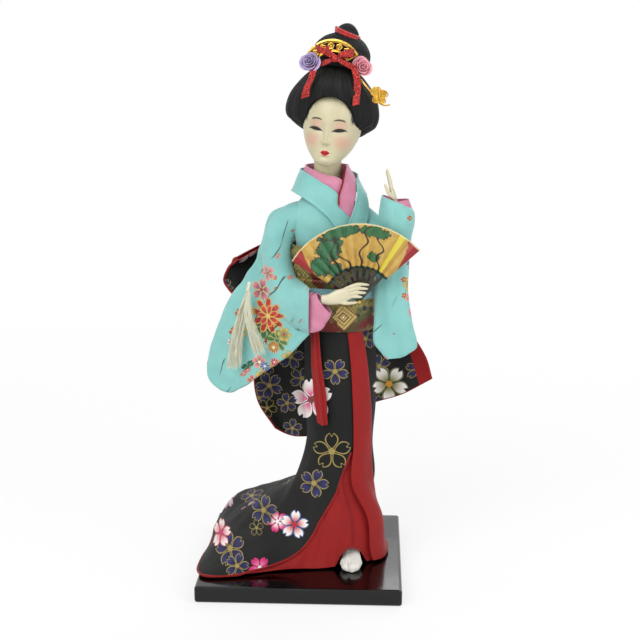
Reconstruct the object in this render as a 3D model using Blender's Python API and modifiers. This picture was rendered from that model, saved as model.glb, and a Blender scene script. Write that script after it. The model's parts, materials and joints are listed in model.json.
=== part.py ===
"""Japanese geisha doll on a square black stand, modelled piece by piece.

Metres, +Z up. The origin is the centre of the stand's underside, +X is the
doll's left hand side as the viewer sees it on the right, and the face looks
along -Y. Heights in this file are measured from the top of the stand.
"""

import math

import bmesh
import bpy
import numpy as np
from mathutils import Matrix, Vector

MM = 0.001
WELD = 0.000001

# Stand
BASE_SIDE = 0.110
BASE_THICK = 0.009
BASE_ROUND = 0.0015
WIRE_SOCKET = 0.006

# Clearances and cloth
GAP = 0.0003
CLOTH = 0.0008
LINING = 0.0007
OBI_PAD = 0.0024

# Padded body, heights above the stand
CORE_LOW = 0.062
HIP = 0.095
WAIST = 0.133
CHEST = 0.176
SHOULDER = 0.190
NECK = 0.206
BODY_X = 0.0195
NECK_X = 0.0130
HIP_HALF_WIDTH = 0.0175
HIP_HALF_DEPTH = 0.0125
WAIST_HALF_WIDTH = 0.0172
WAIST_HALF_DEPTH = 0.0120
SHOULDER_HALF_WIDTH = 0.0205
SHOULDER_HALF_DEPTH = 0.0135
NECK_HOLE = 0.0088

# Legs, feet and arms
LEG_WIRE = 0.0013
FOOT_FRONT_AT = (0.0275, -0.0215)
FOOT_BACK_AT = (0.0165, 0.0020)
FOOT_LENGTH = 0.024
FOOT_WIDTH = 0.0125
FOOT_HEIGHT = 0.0075
ARM_WIRE = 0.0009

# Obi round the waist
OBI_BOTTOM = 0.130
OBI_TOP = 0.176
CORD_HEIGHT = 0.152
CORD_THICK = 0.0024
CORD_TALL = 0.0055

# Hair and head, in the head's own frame
HEAD_TURN = math.radians(-8.0)
HEAD_TILT = math.radians(5.4)
HEAD_HALF_WIDTH = 0.0148
HEAD_HALF_DEPTH = 0.0165
HEAD_HALF_HEIGHT = 0.0215
NECK_RADIUS = 0.0078
HAIR_HALF_WIDTH = 0.0245
HAIR_HALF_DEPTH = 0.0255
BUN_HALF_WIDTH = 0.0150
BUN_HALF_HEIGHT = 0.0115

# Fan
FAN_RADIUS = 0.0415
FAN_INNER = 0.0180
FAN_OPEN = math.radians(107.0)
FAN_PLEATS = 12
FAN_PLEAT_DEPTH = 0.0014
FAN_PAPER = 0.0005
FAN_PIVOT = (0.0312, -0.0255, 0.1485)
RIB_COUNT = 8
RIB_THICK = 0.0004
RIB_SPACE = 0.0002
RIB_WIDTH = 0.0022
RIVET_RADIUS = 0.0008

PARTS = "geisha_doll"
CUTTERS = "cutters"


def clear_scene():
    """Empty the file of whatever objects it opened with."""
    for old in list(bpy.data.objects):
        bpy.data.objects.remove(old, do_unlink=True)


def new_collection(name):
    collection = bpy.data.collections.new(name)
    bpy.context.scene.collection.children.link(collection)
    return collection


def material(name, colour, roughness, metallic=0.0):
    """One Principled material, colour in linear values."""
    made = bpy.data.materials.new(name)
    made.use_nodes = True
    shader = made.node_tree.nodes["Principled BSDF"]
    shader.inputs["Base Color"].default_value = (*colour, 1.0)
    shader.inputs["Roughness"].default_value = roughness
    shader.inputs["Metallic"].default_value = metallic
    return made


def above(x, y, height):
    """A point whose height is measured from the top of the stand."""
    return Vector((x, y, BASE_THICK + height))


def mm(x, y, height):
    """The same, for places given in millimetres."""
    return above(x * MM, y * MM, height * MM)


def spline(points, count, closed=False):
    """Catmull-Rom curve through the points, sampled evenly in its parameter."""
    pts = np.array([tuple(p) for p in points], dtype=float)
    n = len(pts)
    spans = n if closed else n - 1
    out = []
    for i in range(count):
        t = spans * i / (count if closed else count - 1)
        k = min(int(t), spans - 1)
        f = t - k
        if closed:
            a, b, c, d = (pts[(k + j) % n] for j in (-1, 0, 1, 2))
        else:
            b, c = pts[k], pts[k + 1]
            a = pts[k - 1] if k > 0 else 2 * b - c
            d = pts[k + 2] if k + 2 < n else 2 * c - b
        out.append(0.5 * (2 * b + (c - a) * f + (2 * a - 5 * b + 4 * c - d) * f * f
                          + (3 * b - a - 3 * c + d) * f ** 3))
    return np.array(out)


def add_object(name, mesh, finish, parent=None):
    made = bpy.data.objects.new(name, mesh)
    mesh.materials.append(finish)
    parts.objects.link(made)
    if parent is not None:
        made.parent = parent
    return made


def mesh_of(name, verts, faces):
    mesh = bpy.data.meshes.new(name)
    mesh.from_pydata([tuple(v) for v in verts], [], faces)
    bm = bmesh.new()
    bm.from_mesh(mesh)
    bmesh.ops.recalc_face_normals(bm, faces=bm.faces)
    bm.to_mesh(mesh)
    bm.free()
    return mesh


def grid_faces(rows, cols, closed):
    """Quads of a grid of points; closed joins the last column to the first."""
    faces = []
    for r in range(rows - 1):
        for c in range(cols if closed else cols - 1):
            d = (c + 1) % cols
            faces.append((r * cols + c, r * cols + d, (r + 1) * cols + d, (r + 1) * cols + c))
    return faces


def sheet(name, grid, finish, thickness, outward, closed=False, parent=None):
    """Cloth or paper: an open surface with Solidify.

    outward is a point on the side where the thickness does not grow.
    """
    rows, cols = grid.shape[:2]
    mesh = bpy.data.meshes.new(name)
    mesh.from_pydata([tuple(p) for p in grid.reshape(-1, 3)], [], grid_faces(rows, cols, closed))
    weld(mesh)
    face = mesh.polygons[len(mesh.polygons) // 2]
    if face.normal.dot(face.center - Vector(outward)) < 0:
        mesh.flip_normals()
    made = add_object(name, mesh, finish, parent)
    wall = made.modifiers.new("wall", "SOLIDIFY")
    wall.thickness = thickness
    wall.offset = 1.0
    wall.use_even_offset = False
    return made


def loft(name, rings, finish, parent=None):
    """A closed solid through unlike sections, with flat ends."""
    rings = np.array(rings)
    rows, cols = rings.shape[:2]
    faces = grid_faces(rows, cols, True)
    faces.append(tuple(range(cols)))
    faces.append(tuple((rows - 1) * cols + c for c in range(cols)))
    return add_object(name, mesh_of(name, rings.reshape(-1, 3), faces), finish, parent)


def smooth(made):
    made.data.shade_smooth()
    return made


def weld(mesh):
    """Merge points that lie on each other, such as a curve's loose caps."""
    bm = bmesh.new()
    bm.from_mesh(mesh)
    bmesh.ops.remove_doubles(bm, verts=bm.verts, dist=WELD)
    bm.to_mesh(mesh)
    bm.free()


def welded(made):
    """The object's evaluated mesh as a plain mesh in the same place."""
    graph = bpy.context.evaluated_depsgraph_get()
    graph.update()
    mesh = bpy.data.meshes.new_from_object(made.evaluated_get(graph))
    if made.type == "CURVE":
        weld(mesh)
    return mesh


def settle(made):
    """Replace a curve or a stack of modifiers by the mesh that it gives."""
    mesh = welded(made)
    name, parent, place = made.name, made.parent, made.matrix_local.copy()
    bpy.data.objects.remove(made, do_unlink=True)
    fresh = bpy.data.objects.new(name, mesh)
    parts.objects.link(fresh)
    fresh.parent = parent
    fresh.matrix_local = place
    return fresh


def grown(made, gap):
    """A cutter of the object's shape, larger all round by the gap."""
    mesh = welded(made)
    bm = bmesh.new()
    bm.from_mesh(mesh)
    bm.normal_update()
    moves = [v.normal * gap for v in bm.verts]
    for vert, move in zip(bm.verts, moves):
        vert.co += move
    bm.to_mesh(mesh)
    bm.free()
    cutter = bpy.data.objects.new(made.name + "_cutter", mesh)
    cutter.parent = made.parent
    cutter.matrix_local = made.matrix_local.copy()
    cutter.hide_render = True
    cutter.display_type = "WIRE"
    cutters.objects.link(cutter)
    return cutter


def keep_largest(mesh):
    """Drop the crumbs that a cut can leave beside the main body."""
    bm = bmesh.new()
    bm.from_mesh(mesh)
    left = set(bm.verts)
    islands = []
    while left:
        stack = [left.pop()]
        island = set(stack)
        while stack:
            vert = stack.pop()
            for edge in vert.link_edges:
                other = edge.other_vert(vert)
                if other not in island:
                    island.add(other)
                    stack.append(other)
        left -= island
        islands.append(island)
    areas = [sum(face.calc_area() for face in bm.faces if face.verts[0] in island) for island in islands]
    crumbs = [v for island, area in zip(islands, areas) if area < max(areas) for v in island]
    bmesh.ops.delete(bm, geom=crumbs, context="VERTS")
    bmesh.ops.dissolve_degenerate(bm, dist=WELD, edges=bm.edges)
    open_edges = [e for e in bm.edges if len(e.link_faces) == 1]
    bmesh.ops.holes_fill(bm, edges=open_edges, sides=0)
    bm.to_mesh(mesh)
    bm.free()


def combine(made, other, operation, crossing=False):
    """Apply one exact Boolean to the object; crossing is for a band that overlaps itself."""
    step = made.modifiers.new("step", "BOOLEAN")
    step.operation = operation
    step.solver = "EXACT"
    step.use_self = crossing
    step.object = other
    return settle(made)


def carve(made, neighbours, gap=GAP, crossing=False):
    """Cut room for each neighbour, with the running gap round it."""
    for neighbour in neighbours:
        cutter = grown(neighbour, gap)
        made = combine(made, cutter, "DIFFERENCE", crossing)
        bpy.data.objects.remove(cutter, do_unlink=True)
    keep_largest(made.data)
    return made


def join(made, other):
    """One body from two that overlap."""
    made = combine(made, other, "UNION")
    bpy.data.objects.remove(other, do_unlink=True)
    return made


def tube(name, points, radius, finish, parent=None, radii=None, sides=3):
    """A round wire, rod or soft roll along a smooth route."""
    curve = bpy.data.curves.new(name, "CURVE")
    curve.dimensions = "3D"
    curve.bevel_depth = radius
    curve.bevel_resolution = sides - 1
    curve.use_fill_caps = True
    line = curve.splines.new("POLY")
    line.points.add(len(points) - 1)
    for i, place in enumerate(points):
        line.points[i].co = (*place, 1.0)
        if radii is not None:
            line.points[i].radius = radii[i]
    return settle(add_object(name, curve, finish, parent))


def ring(centre, half_x, half_y, count, power=2.0):
    """Points of a level superellipse, starting at the front and going left."""
    out = []
    for i in range(count):
        angle = 2 * math.pi * i / count
        s, c = math.sin(angle), math.cos(angle)
        reach = (abs(s) ** power + abs(c) ** power) ** (-1.0 / power)
        out.append((centre[0] - half_x * reach * s, centre[1] - half_y * reach * c, centre[2]))
    return np.array(out)


clear_scene()
parts = new_collection(PARTS)
cutters = new_collection(CUTTERS)

SKIN = material("painted_skin", (0.55, 0.50, 0.33), 0.45)
BLACK_LACQUER = material("black_lacquer", (0.012, 0.012, 0.011), 0.18)
STEEL = material("steel_wire", (0.45, 0.45, 0.45), 0.35, 1.0)
PADDING = material("padding", (0.60, 0.56, 0.48), 0.9)
HAIR = material("black_hair", (0.010, 0.011, 0.010), 0.55)
CYAN = material("cyan_crepe", (0.22, 0.51, 0.48), 0.8)
PINK = material("pink_silk", (0.61, 0.22, 0.35), 0.7)
RED = material("red_silk", (0.26, 0.008, 0.010), 0.6)
BLACK_SILK = material("black_silk", (0.010, 0.010, 0.009), 0.7)
BROCADE = material("gold_brocade", (0.45, 0.33, 0.12), 0.5, 0.3)
GOLD = material("gold_metal", (0.75, 0.52, 0.12), 0.35, 1.0)
WHITE_CLOTH = material("white_cloth", (0.75, 0.74, 0.70), 0.8)
PURPLE = material("purple_ribbon", (0.30, 0.20, 0.50), 0.5)
ROSE_PINK = material("rose_pink_ribbon", (0.80, 0.30, 0.40), 0.5)
SKY_CORD = material("sky_blue_cord", (0.40, 0.60, 0.75), 0.6)
FAN_PAPER_GOLD = material("gold_paper", (0.50, 0.38, 0.10), 0.5)
DARK_WOOD = material("dark_wood", (0.02, 0.03, 0.02), 0.5)
WHITE_THREAD = material("white_thread", (0.78, 0.76, 0.70), 0.7)


# Body form, from which every garment takes its place
BODY_LEVELS = (
    (CORE_LOW, BODY_X + 0.0010, HIP_HALF_WIDTH - 0.0045, HIP_HALF_DEPTH - 0.0030),
    (HIP, BODY_X + 0.0010, HIP_HALF_WIDTH, HIP_HALF_DEPTH),
    (WAIST, BODY_X, WAIST_HALF_WIDTH, WAIST_HALF_DEPTH),
    (0.5 * (WAIST + CHEST), BODY_X - 0.0020, WAIST_HALF_WIDTH, WAIST_HALF_DEPTH),
    (CHEST, NECK_X + 0.0020, SHOULDER_HALF_WIDTH - 0.0022, SHOULDER_HALF_DEPTH + 0.0012),
    (SHOULDER, NECK_X + 0.0003, SHOULDER_HALF_WIDTH, SHOULDER_HALF_DEPTH),
    (0.5 * (SHOULDER + NECK), NECK_X, SHOULDER_HALF_WIDTH - 0.0055, SHOULDER_HALF_DEPTH - 0.0010),
    (NECK, NECK_X, NECK_HOLE, NECK_HOLE),
)


def body_at(height):
    """Centre x, half width and half depth of the padded body at a height."""
    levels = np.array(BODY_LEVELS)
    return [np.interp(height, levels[:, 0], levels[:, k]) for k in (1, 2, 3)]


def body_ring(height, out, count):
    centre, wide, deep = body_at(height)
    return ring((centre, 0.0, BASE_THICK + height), wide + out, deep + out, count)


def patch(control, rows, cols, closed=False):
    """A smooth surface through a coarse grid of points."""
    along = [spline(line, cols, closed) for line in control]
    return np.array([spline([line[c] for line in along], rows) for c in range(cols)]).transpose(1, 0, 2)


# Square lacquered stand
bpy.ops.mesh.primitive_cube_add(size=1.0, location=(0.0, 0.0, BASE_THICK / 2))
base_board = bpy.context.object
for holder in base_board.users_collection:
    holder.objects.unlink(base_board)
parts.objects.link(base_board)
base_board.name = "base_board"
base_board.data.transform(Matrix.Diagonal((BASE_SIDE, BASE_SIDE, BASE_THICK, 1.0)))
base_board.data.materials.append(BLACK_LACQUER)
edge = base_board.modifiers.new("edge", "BEVEL")
edge.width = BASE_ROUND
edge.segments = 3
base_board = settle(base_board)

# Leg wires, from the stand through the feet into the padded body
def leg_wire(name, foot_at, hip_side):
    low = above(foot_at[0], foot_at[1] + FOOT_LENGTH * 0.22, -WIRE_SOCKET)
    ankle = above(low.x, low.y, FOOT_HEIGHT + 0.004)
    knee = above(0.5 * (low.x + BODY_X + hip_side), 0.5 * low.y - 0.001, 0.5 * CORE_LOW + 0.006)
    top = above(BODY_X + hip_side, 0.0, CORE_LOW + 0.012)
    route = [low, Vector(low).lerp(ankle, 0.5)] + [Vector(p) for p in spline([ankle, knee, top], 9)]
    return tube(name, route, LEG_WIRE, STEEL, sides=2)


leg_wire_left = leg_wire("leg_wire_left", FOOT_FRONT_AT, 0.006)
leg_wire_right = leg_wire("leg_wire_right", FOOT_BACK_AT, -0.005)

# Feet in white split-toe socks
def foot(name, at):
    """Sole, instep and ankle as one stuffed form, toe towards -Y."""
    rings = []
    for share, half, tall in ((0.0, 0.30, 0.42), (0.07, 0.80, 0.62), (0.28, 1.0, 0.78),
                              (0.52, 0.86, 1.0), (0.78, 0.72, 1.55), (0.94, 0.62, 1.6), (1.0, 0.35, 1.2)):
        y = at[1] + FOOT_LENGTH * (share - 0.5)
        wide, top = FOOT_WIDTH * 0.5 * half, FOOT_HEIGHT * tall
        low = BASE_THICK + GAP
        line = []
        for i in range(12):
            turn = 2 * math.pi * i / 12
            z = low + (top - GAP) * 0.5 * (1.0 - max(-0.86, min(1.0, 1.16 * math.cos(turn))))
            line.append((at[0] + wide * math.sin(turn), y, z))
        rings.append(line)
    return smooth(loft(name, rings, WHITE_CLOTH))


foot_front = carve(foot("foot_front", FOOT_FRONT_AT), [leg_wire_left])
foot_back = carve(foot("foot_back", FOOT_BACK_AT), [leg_wire_right])
base_board = carve(base_board, [leg_wire_left, leg_wire_right])

# Padded body
core_heights = [row[0] for row in BODY_LEVELS[:-1]] + [NECK - 0.002]
torso_core = smooth(loft("torso_core", [body_ring(h, -0.0004, 20) for h in core_heights], PADDING))

# Skirts: one form from waist to hem, with a train to the back left
SKIRT_TOP = OBI_BOTTOM + 0.0035
HEM = GAP + LINING + GAP
TRAIN_LEFT = -0.0540
TRAIN_BACK = 0.0470
TRAIN_FRONT = -0.0425
SKIRT_ROWS = 14
SKIRT_COLS = 36
SKIRT_GATHERS = 9
GATHER_DEPTH = 0.0011
HEM_OVER_FOOT = FOOT_HEIGHT + 0.0036


def ellipse_stops(height, centre_x, half_x, half_y):
    """Eight points of a level section: front, then round by the left."""
    return [(centre_x - half_x * math.sin(k * math.pi / 4), -half_y * math.cos(k * math.pi / 4),
             BASE_THICK + height) for k in range(8)]


def skirt_control():
    """Sections from the waist to the hem, each of eight points."""
    hem = BASE_THICK + HEM
    waist = body_at(SKIRT_TOP)
    hip = body_at(HIP)
    out = GAP + LINING + GAP
    low = [mm(21, -21.5, 26), mm(2, -23, 23), mm(-20, -20, 22), mm(-31, 8, 27),
           mm(-28, 33, 31), mm(4, 28, 30), mm(33, 14, 24), mm(42.0, -8, 24)]
    train = [mm(21, -25.5, 8), mm(-4, -29.5, 7), mm(-35, -33.5, 9), mm(-44, 4, 16),
             mm(-40, 40, 21), mm(3, 36, 16), mm(37, 18, 8), mm(43.5, -10, 8)]
    hem_line = [(0.0215, -0.0275, hem), (-0.0080, -0.0330, hem), (TRAIN_LEFT + 0.002, TRAIN_FRONT, hem),
                (TRAIN_LEFT + 0.001, 0.0020, hem), (TRAIN_LEFT + 0.006, TRAIN_BACK, hem),
                (0.0020, TRAIN_BACK - 0.006, hem), (0.0400, 0.0200, hem), (0.0445, -0.0110, hem)]
    return [ellipse_stops(SKIRT_TOP, waist[0], waist[1] + out, waist[2] + out),
            ellipse_stops(0.112, hip[0], hip[1] + out, hip[2] + out),
            ellipse_stops(0.088, hip[0], hip[1] + out + 0.0004, hip[2] + out + 0.001),
            ellipse_stops(0.066, BODY_X + 0.0012, 0.0175, 0.0150),
            ellipse_stops(0.045, BODY_X - 0.0015, 0.0215, 0.0175),
            low, train, hem_line]


def skirt_form(rows, cols):
    """The whole form as rows of a closed grid, with gathers that deepen to the hem."""
    grid = patch(skirt_control(), rows, cols, closed=True)
    for r in range(rows):
        fall = max(0.0, (r / (rows - 1) - 0.35) / 0.65)
        middle = grid[r].mean(axis=0)
        for c in range(cols):
            away = grid[r, c] - middle
            away[2] = 0.0
            wave = math.cos(2 * math.pi * SKIRT_GATHERS * c / cols)
            lift = GATHER_DEPTH * fall * (1.0 - fall ** 6) * wave
            grid[r, c] += away / np.linalg.norm(away) * lift
            over = (grid[r, c, 0] - FOOT_FRONT_AT[0]) / (0.5 * FOOT_WIDTH + 0.0022)
            if grid[r, c, 1] < FOOT_FRONT_AT[1] * 0.5:
                lifted = BASE_THICK + HEM_OVER_FOOT * math.exp(-over ** 4)
                grid[r, c, 2] = max(grid[r, c, 2], lifted)
    return grid


def between(grid, row, share):
    """A point of one row of a closed grid, share running from 0 to 1 round it."""
    cols = grid.shape[1]
    place = (share % 1.0) * cols
    k = int(place) % cols
    f = place - int(place)
    return grid[row, k] * (1 - f) + grid[row, (k + 1) % cols] * f


def inward(grid, step, closed):
    """The grid moved towards its own inside by a small step."""
    rows, cols = grid.shape[:2]
    moved = grid.copy()
    for r in range(rows):
        for c in range(cols):
            down = grid[min(r + 1, rows - 1), c] - grid[max(r - 1, 0), c]
            if closed:
                side = grid[r, (c + 1) % cols] - grid[r, c - 1]
            else:
                side = grid[r, min(c + 1, cols - 1)] - grid[r, max(c - 1, 0)]
            normal = np.cross(down, side)
            moved[r, c] = grid[r, c] + normal / np.linalg.norm(normal) * step
    return moved


def opened(grid, start, stop):
    """Part of each row of a closed grid, from one share of the way round to another.

    Columns past an edge are drawn onto it, so the cloth keeps the grid's own lines.
    """
    rows, cols = grid.shape[:2]
    out = []
    for r in range(rows):
        a, b = start(r / (rows - 1)), stop(r / (rows - 1))
        out.append([between(grid, r, min(max(k / cols, a), b)) for k in range(-cols // 8, cols + 1)])
    return np.array(out)


def steps(pairs):
    """A smooth function through (place, value) pairs."""
    places = [p[0] for p in pairs]
    values = [p[1] for p in pairs]
    return lambda place: float(np.interp(place, places, values))


skirt_grid = skirt_form(SKIRT_ROWS, SKIRT_COLS)

# Black kimono skirt: open in front, its left edge sweeping away to the train
left_edge = steps(((0.0, -0.050), (0.43, -0.066), (0.60, -0.010), (0.714, 0.075), (0.857, 0.130), (1.0, 0.190)))
right_edge = steps(((0.0, 0.944), (0.43, 0.926), (0.70, 0.900), (1.0, 0.870)))
skirt_cloth = opened(skirt_grid, left_edge, right_edge)
kimono_skirt = smooth(settle(sheet("kimono_skirt", skirt_cloth, BLACK_SILK, CLOTH,
                                   above(BODY_X, 0.0, CORE_LOW))))

# Red underskirt: a whole tube inside, showing in front and along the hem
under_grid = inward(skirt_grid, GAP, True)
underskirt = sheet("underskirt", inward(under_grid, LINING, True), RED, LINING,
                   above(BODY_X, 0.0, CORE_LOW), closed=True)
underskirt = smooth(settle(underskirt))


# Turned-out red edge of the skirt's right-hand front panel
lapel_inner = steps(((0.0, 0.958), (0.43, 0.932), (0.70, 0.925), (1.0, 0.920)))
lapel_outer = steps(((0.0, 0.894), (0.25, 0.850), (0.43, 0.812), (0.70, 0.800), (1.0, 0.800)))
lapel_base = inward(skirt_grid, -(CLOTH + 2 * GAP), True)
lapel_grid = opened(lapel_base, lapel_outer, lapel_inner)
skirt_lapel = smooth(settle(sheet("skirt_lapel", lapel_grid, RED, LINING, above(BODY_X, 0.0, CORE_LOW))))

# Kimono body, from inside the obi up to the neck
BODICE_FOOT = SKIRT_TOP + 2 * GAP
bodice_heights = [BODICE_FOOT] + [row[0] for row in BODY_LEVELS if row[0] > BODICE_FOOT]
bodice_grid = np.array([body_ring(h, GAP, 24) for h in bodice_heights])
kimono_bodice = sheet("kimono_bodice", bodice_grid, CYAN, CLOTH, above(BODY_X, 0.0, CHEST), closed=True)
kimono_bodice = smooth(settle(kimono_bodice))

# Crossed collars: pink under collar, then the kimono's own collar band
def collar(name, edges, finish, thickness):
    """A folded band round the nape, crossing over in front."""
    control = [[mm(*a), (mm(*a) + mm(*b)) * 0.5 + Vector((0, -0.0004, 0.0002)), mm(*b)] for a, b in edges]
    grid = patch(control, 30, 4)
    return smooth(settle(sheet(name, grid, finish, thickness, above(NECK_X, 0.0, CHEST))))


COLLAR_BAND = 0.0009
under_collar = collar("under_collar", (
    ((25, -12.4, 197), (20, -13.2, 193)), ((21.5, -12.4, 210.5), (16, -13.2, 203)),
    ((12, -10.5, 213.5), (6.5, -11.6, 207.5)), ((4.0, -5.5, 216.5), (-0.5, -6, 209.5)),
    ((2.5, 3, 217.5), (-2, 5, 209)), ((13, 9.6, 218), (13, 11.8, 209)),
    ((23.5, 4, 217.5), (28, 5, 209)), ((23.0, -5, 217), (28.5, -6.5, 209.5)),
    ((22.2, -13.0, 210), (28.6, -11.5, 203)), ((19.8, -14.6, 203.5), (27.5, -13.0, 196)),
    ((20, -14.8, 197), (27, -13.6, 190))), PINK, COLLAR_BAND)
kimono_collar = collar("kimono_collar", (
    ((29, -12.6, 184), (21.5, -15.4, 178)), ((25.0, -13.6, 193), (16.5, -15.0, 189)),
    ((19.0, -14.2, 204.0), (9.5, -14.6, 196.5)), ((10, -12.6, 209.5), (1, -12.6, 200.5)),
    ((1.5, -7, 213.5), (-6, -7.5, 203.5)), ((-1.0, 4, 214), (-8.5, 5, 203.5)),
    ((13, 12.6, 214.5), (13, 14.6, 203)), ((28.5, 6, 211), (34.5, 6, 202)),
    ((29.4, -7.5, 208.5), (36.0, -4.5, 202)), ((29.4, -13.4, 202), (36.4, -7.5, 195)),
    ((27.2, -14.8, 194), (34.4, -10.8, 187)), ((23.5, -16.2, 185), (30.4, -14.0, 177.8))), CYAN, COLLAR_BAND)
under_collar = carve(under_collar, [kimono_bodice])
kimono_collar = carve(kimono_collar, [kimono_bodice, under_collar], crossing=True)

# Obi: padded brocade sash, with a flat cord round it
OBI_INNER = 3 * GAP + LINING + CLOTH
obi_heights = np.linspace(OBI_BOTTOM, OBI_TOP, 6)
obi_grid = np.array([body_ring(h, OBI_INNER, 32) for h in obi_heights])
obi = smooth(settle(sheet("obi", obi_grid, BROCADE, OBI_PAD, above(BODY_X, 0.0, CHEST), closed=True)))
obi = carve(obi, [kimono_collar, under_collar, kimono_skirt, skirt_lapel])
cord_grid = np.array([body_ring(CORD_HEIGHT + CORD_TALL * k, OBI_INNER + OBI_PAD + GAP + bulge, 32)
                      for k, bulge in ((-0.5, 0.0), (-0.25, 0.0004), (0.25, 0.0004), (0.5, 0.0))])
obi_cord = smooth(settle(sheet("obi_cord", cord_grid, SKY_CORD, CORD_THICK * 0.5,
                               above(BODY_X, 0.0, CHEST), closed=True)))


def turned_frames(route, upward):
    """Side and top directions carried along a route without twisting."""
    pts = [np.array(tuple(p)) for p in route]
    top = np.array(upward, dtype=float)
    out = []
    for i, place in enumerate(pts):
        ahead = pts[min(i + 1, len(pts) - 1)] - pts[max(i - 1, 0)]
        ahead /= np.linalg.norm(ahead)
        top = top - ahead * top.dot(ahead)
        top /= np.linalg.norm(top)
        out.append((place, np.cross(ahead, top), top))
    return out


def along(route, talls, wides, upward, count, shrink=0.0):
    """Oval sections along a route; shrink draws them in for a bore."""
    rings = []
    for (place, side, top), tall, wide in zip(turned_frames(route, upward), talls, wides):
        rings.append([place + top * (tall - shrink) * math.cos(a) + side * (wide - shrink) * math.sin(a)
                      for a in (2 * math.pi * i / count for i in range(count))])
    return np.array(rings)


def mm_route(points):
    return [mm(*p) for p in points]


# Kimono sleeves: a tube round the arm, with the long hanging bag joined on
SLEEVE_SIDES = 16
BAG_THICK = 0.0036


def sleeve(name, limbs, bag):
    """Outer form of arm and bag, bored out round the arm."""
    body = None
    for route, talls, wides, upward in limbs:
        limb = loft(name + "_limb", along(route, talls, wides, upward, SLEEVE_SIDES), CYAN)
        body = limb if body is None else join(body, limb)
    hanging = settle(sheet(name + "_bag", bag, CYAN, BAG_THICK, (0.02, 0.5, 0.1)))
    body = join(body, hanging)
    for route, talls, wides, upward in limbs:
        longer = [route[0] * 1.25 - route[1] * 0.25] + route[1:-1] + [route[-1] * 1.2 - route[-2] * 0.2]
        bore = loft(name + "_bore", along(longer, talls, wides, upward, SLEEVE_SIDES, CLOTH), CYAN)
        body = combine(body, bore, "DIFFERENCE")
        bpy.data.objects.remove(bore, do_unlink=True)
    body.name = name
    keep_largest(body.data)
    return body


arm_right_route = [Vector(p) for p in spline(mm_route((
    (-3, 0, 189), (-10, -1, 186), (-13.5, -3.5, 175), (-14, -8, 163), (-11.5, -14, 152.5),
    (-5, -19.5, 147), (4.6, -24.5, 143.5))), 11)]
arm_right_talls = spline([(v * MM, 0, 0) for v in (8.6, 8.6, 8.0, 8.0, 8.8, 10.4, 11.6)], 11)[:, 0]
arm_right_wides = spline([(v * MM, 0, 0) for v in (8.0, 8.0, 7.6, 7.4, 7.0, 6.4, 5.6)], 11)[:, 0]
bag_right = patch((
    mm_route(((-21, 1, 168), (-18, -3, 168), (-15, -6, 167), (-12, -8, 166))),
    mm_route(((-35.3, 3, 151), (-28, -5, 152), (-20, -11, 152), (-12, -14, 153))),
    mm_route(((-44.3, 3.5, 135.5), (-31, -6, 136), (-17, -13, 139), (-4, -20, 142))),
    mm_route(((-51, 3, 118), (-35, -6.5, 119), (-18, -14, 126), (1, -22, 136))),
    mm_route(((-52.3, 2, 99.5), (-38.5, -3, 96.6), (-17, -13, 112), (4.6, -24, 131.5)))), 10, 11)
sleeve_right = sleeve("sleeve_right", [(arm_right_route, arm_right_talls, arm_right_wides, (0, 0, 1))],
                      bag_right)

upper_left = [Vector(p) for p in spline(mm_route(((23, 0, 192), (32, -1, 188), (41, -5, 177), (48, -10, 166))), 6)]
fore_left = [Vector(p) for p in spline(mm_route(((48.5, -10.5, 163), (49.5, -14, 176), (51, -16.5, 188),
                                                 (52, -17, 197))), 6)]
bag_left = patch((
    mm_route(((43, -13, 178), (49, -15, 180), (55, -13, 178))),
    mm_route(((39.7, -12, 156), (47, -13.5, 156), (53.5, -12, 160))),
    mm_route(((39.3, -13, 140), (48, -15.5, 139), (57.6, -12, 143))),
    mm_route(((39.4, -12.5, 125), (48, -14, 115.8), (60.6, -11.5, 124)))), 8, 6)
sleeve_left = sleeve("sleeve_left", [
    (upper_left, [0.0082] * 6, [0.0080] * 6, (0, 0, 1)),
    (fore_left, [0.0072, 0.0070, 0.0072, 0.0078, 0.0084, 0.0088], [0.0070] * 6, (1, 0, 0))], bag_left)
sleeve_right = carve(sleeve_right, [kimono_bodice, kimono_collar, under_collar, obi, obi_cord])
sleeve_left = carve(sleeve_left, [kimono_bodice, kimono_collar, under_collar, obi, obi_cord])

# Pink inner sleeves that show at the wrists
CUFF_SIDES = 16
CUFF_GAP = 0.0004


def cuff(name, route, talls, wides, upward):
    route = [Vector(p) for p in route]
    rings = along(route, talls, wides, upward, CUFF_SIDES)
    middle = sum(route, Vector()) / len(route)
    return smooth(settle(sheet(name, rings, PINK, LINING, middle, closed=True)))


sleeve_lining_right = cuff("sleeve_lining_right", mm_route(((-3, -20.6, 146.4), (4.4, -24.4, 143.6),
                                                            (8.5, -25.6, 145.6), (12.3, -26.6, 149.6))),
                           (0.0088, 0.0098, 0.0072, 0.0044), (0.0044, 0.0042, 0.0040, 0.0036), (0, 0, 1))
sleeve_lining_left = cuff("sleeve_lining_left", mm_route(((50.4, -15.6, 183), (51.2, -16.6, 190), (51.0, -17, 195),
                                                          (50.6, -17, 200))),
                          (0.0052, 0.0060, 0.0060, 0.0050), (0.0050, 0.0056, 0.0056, 0.0050), (1, 0, 0))
sleeve_lining_right = carve(sleeve_lining_right, [sleeve_right], CUFF_GAP)
sleeve_lining_left = carve(sleeve_lining_left, [sleeve_left], CUFF_GAP)

# Hands, each moulded in one piece on the end of its arm wire
FINGER = 0.00105


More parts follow.
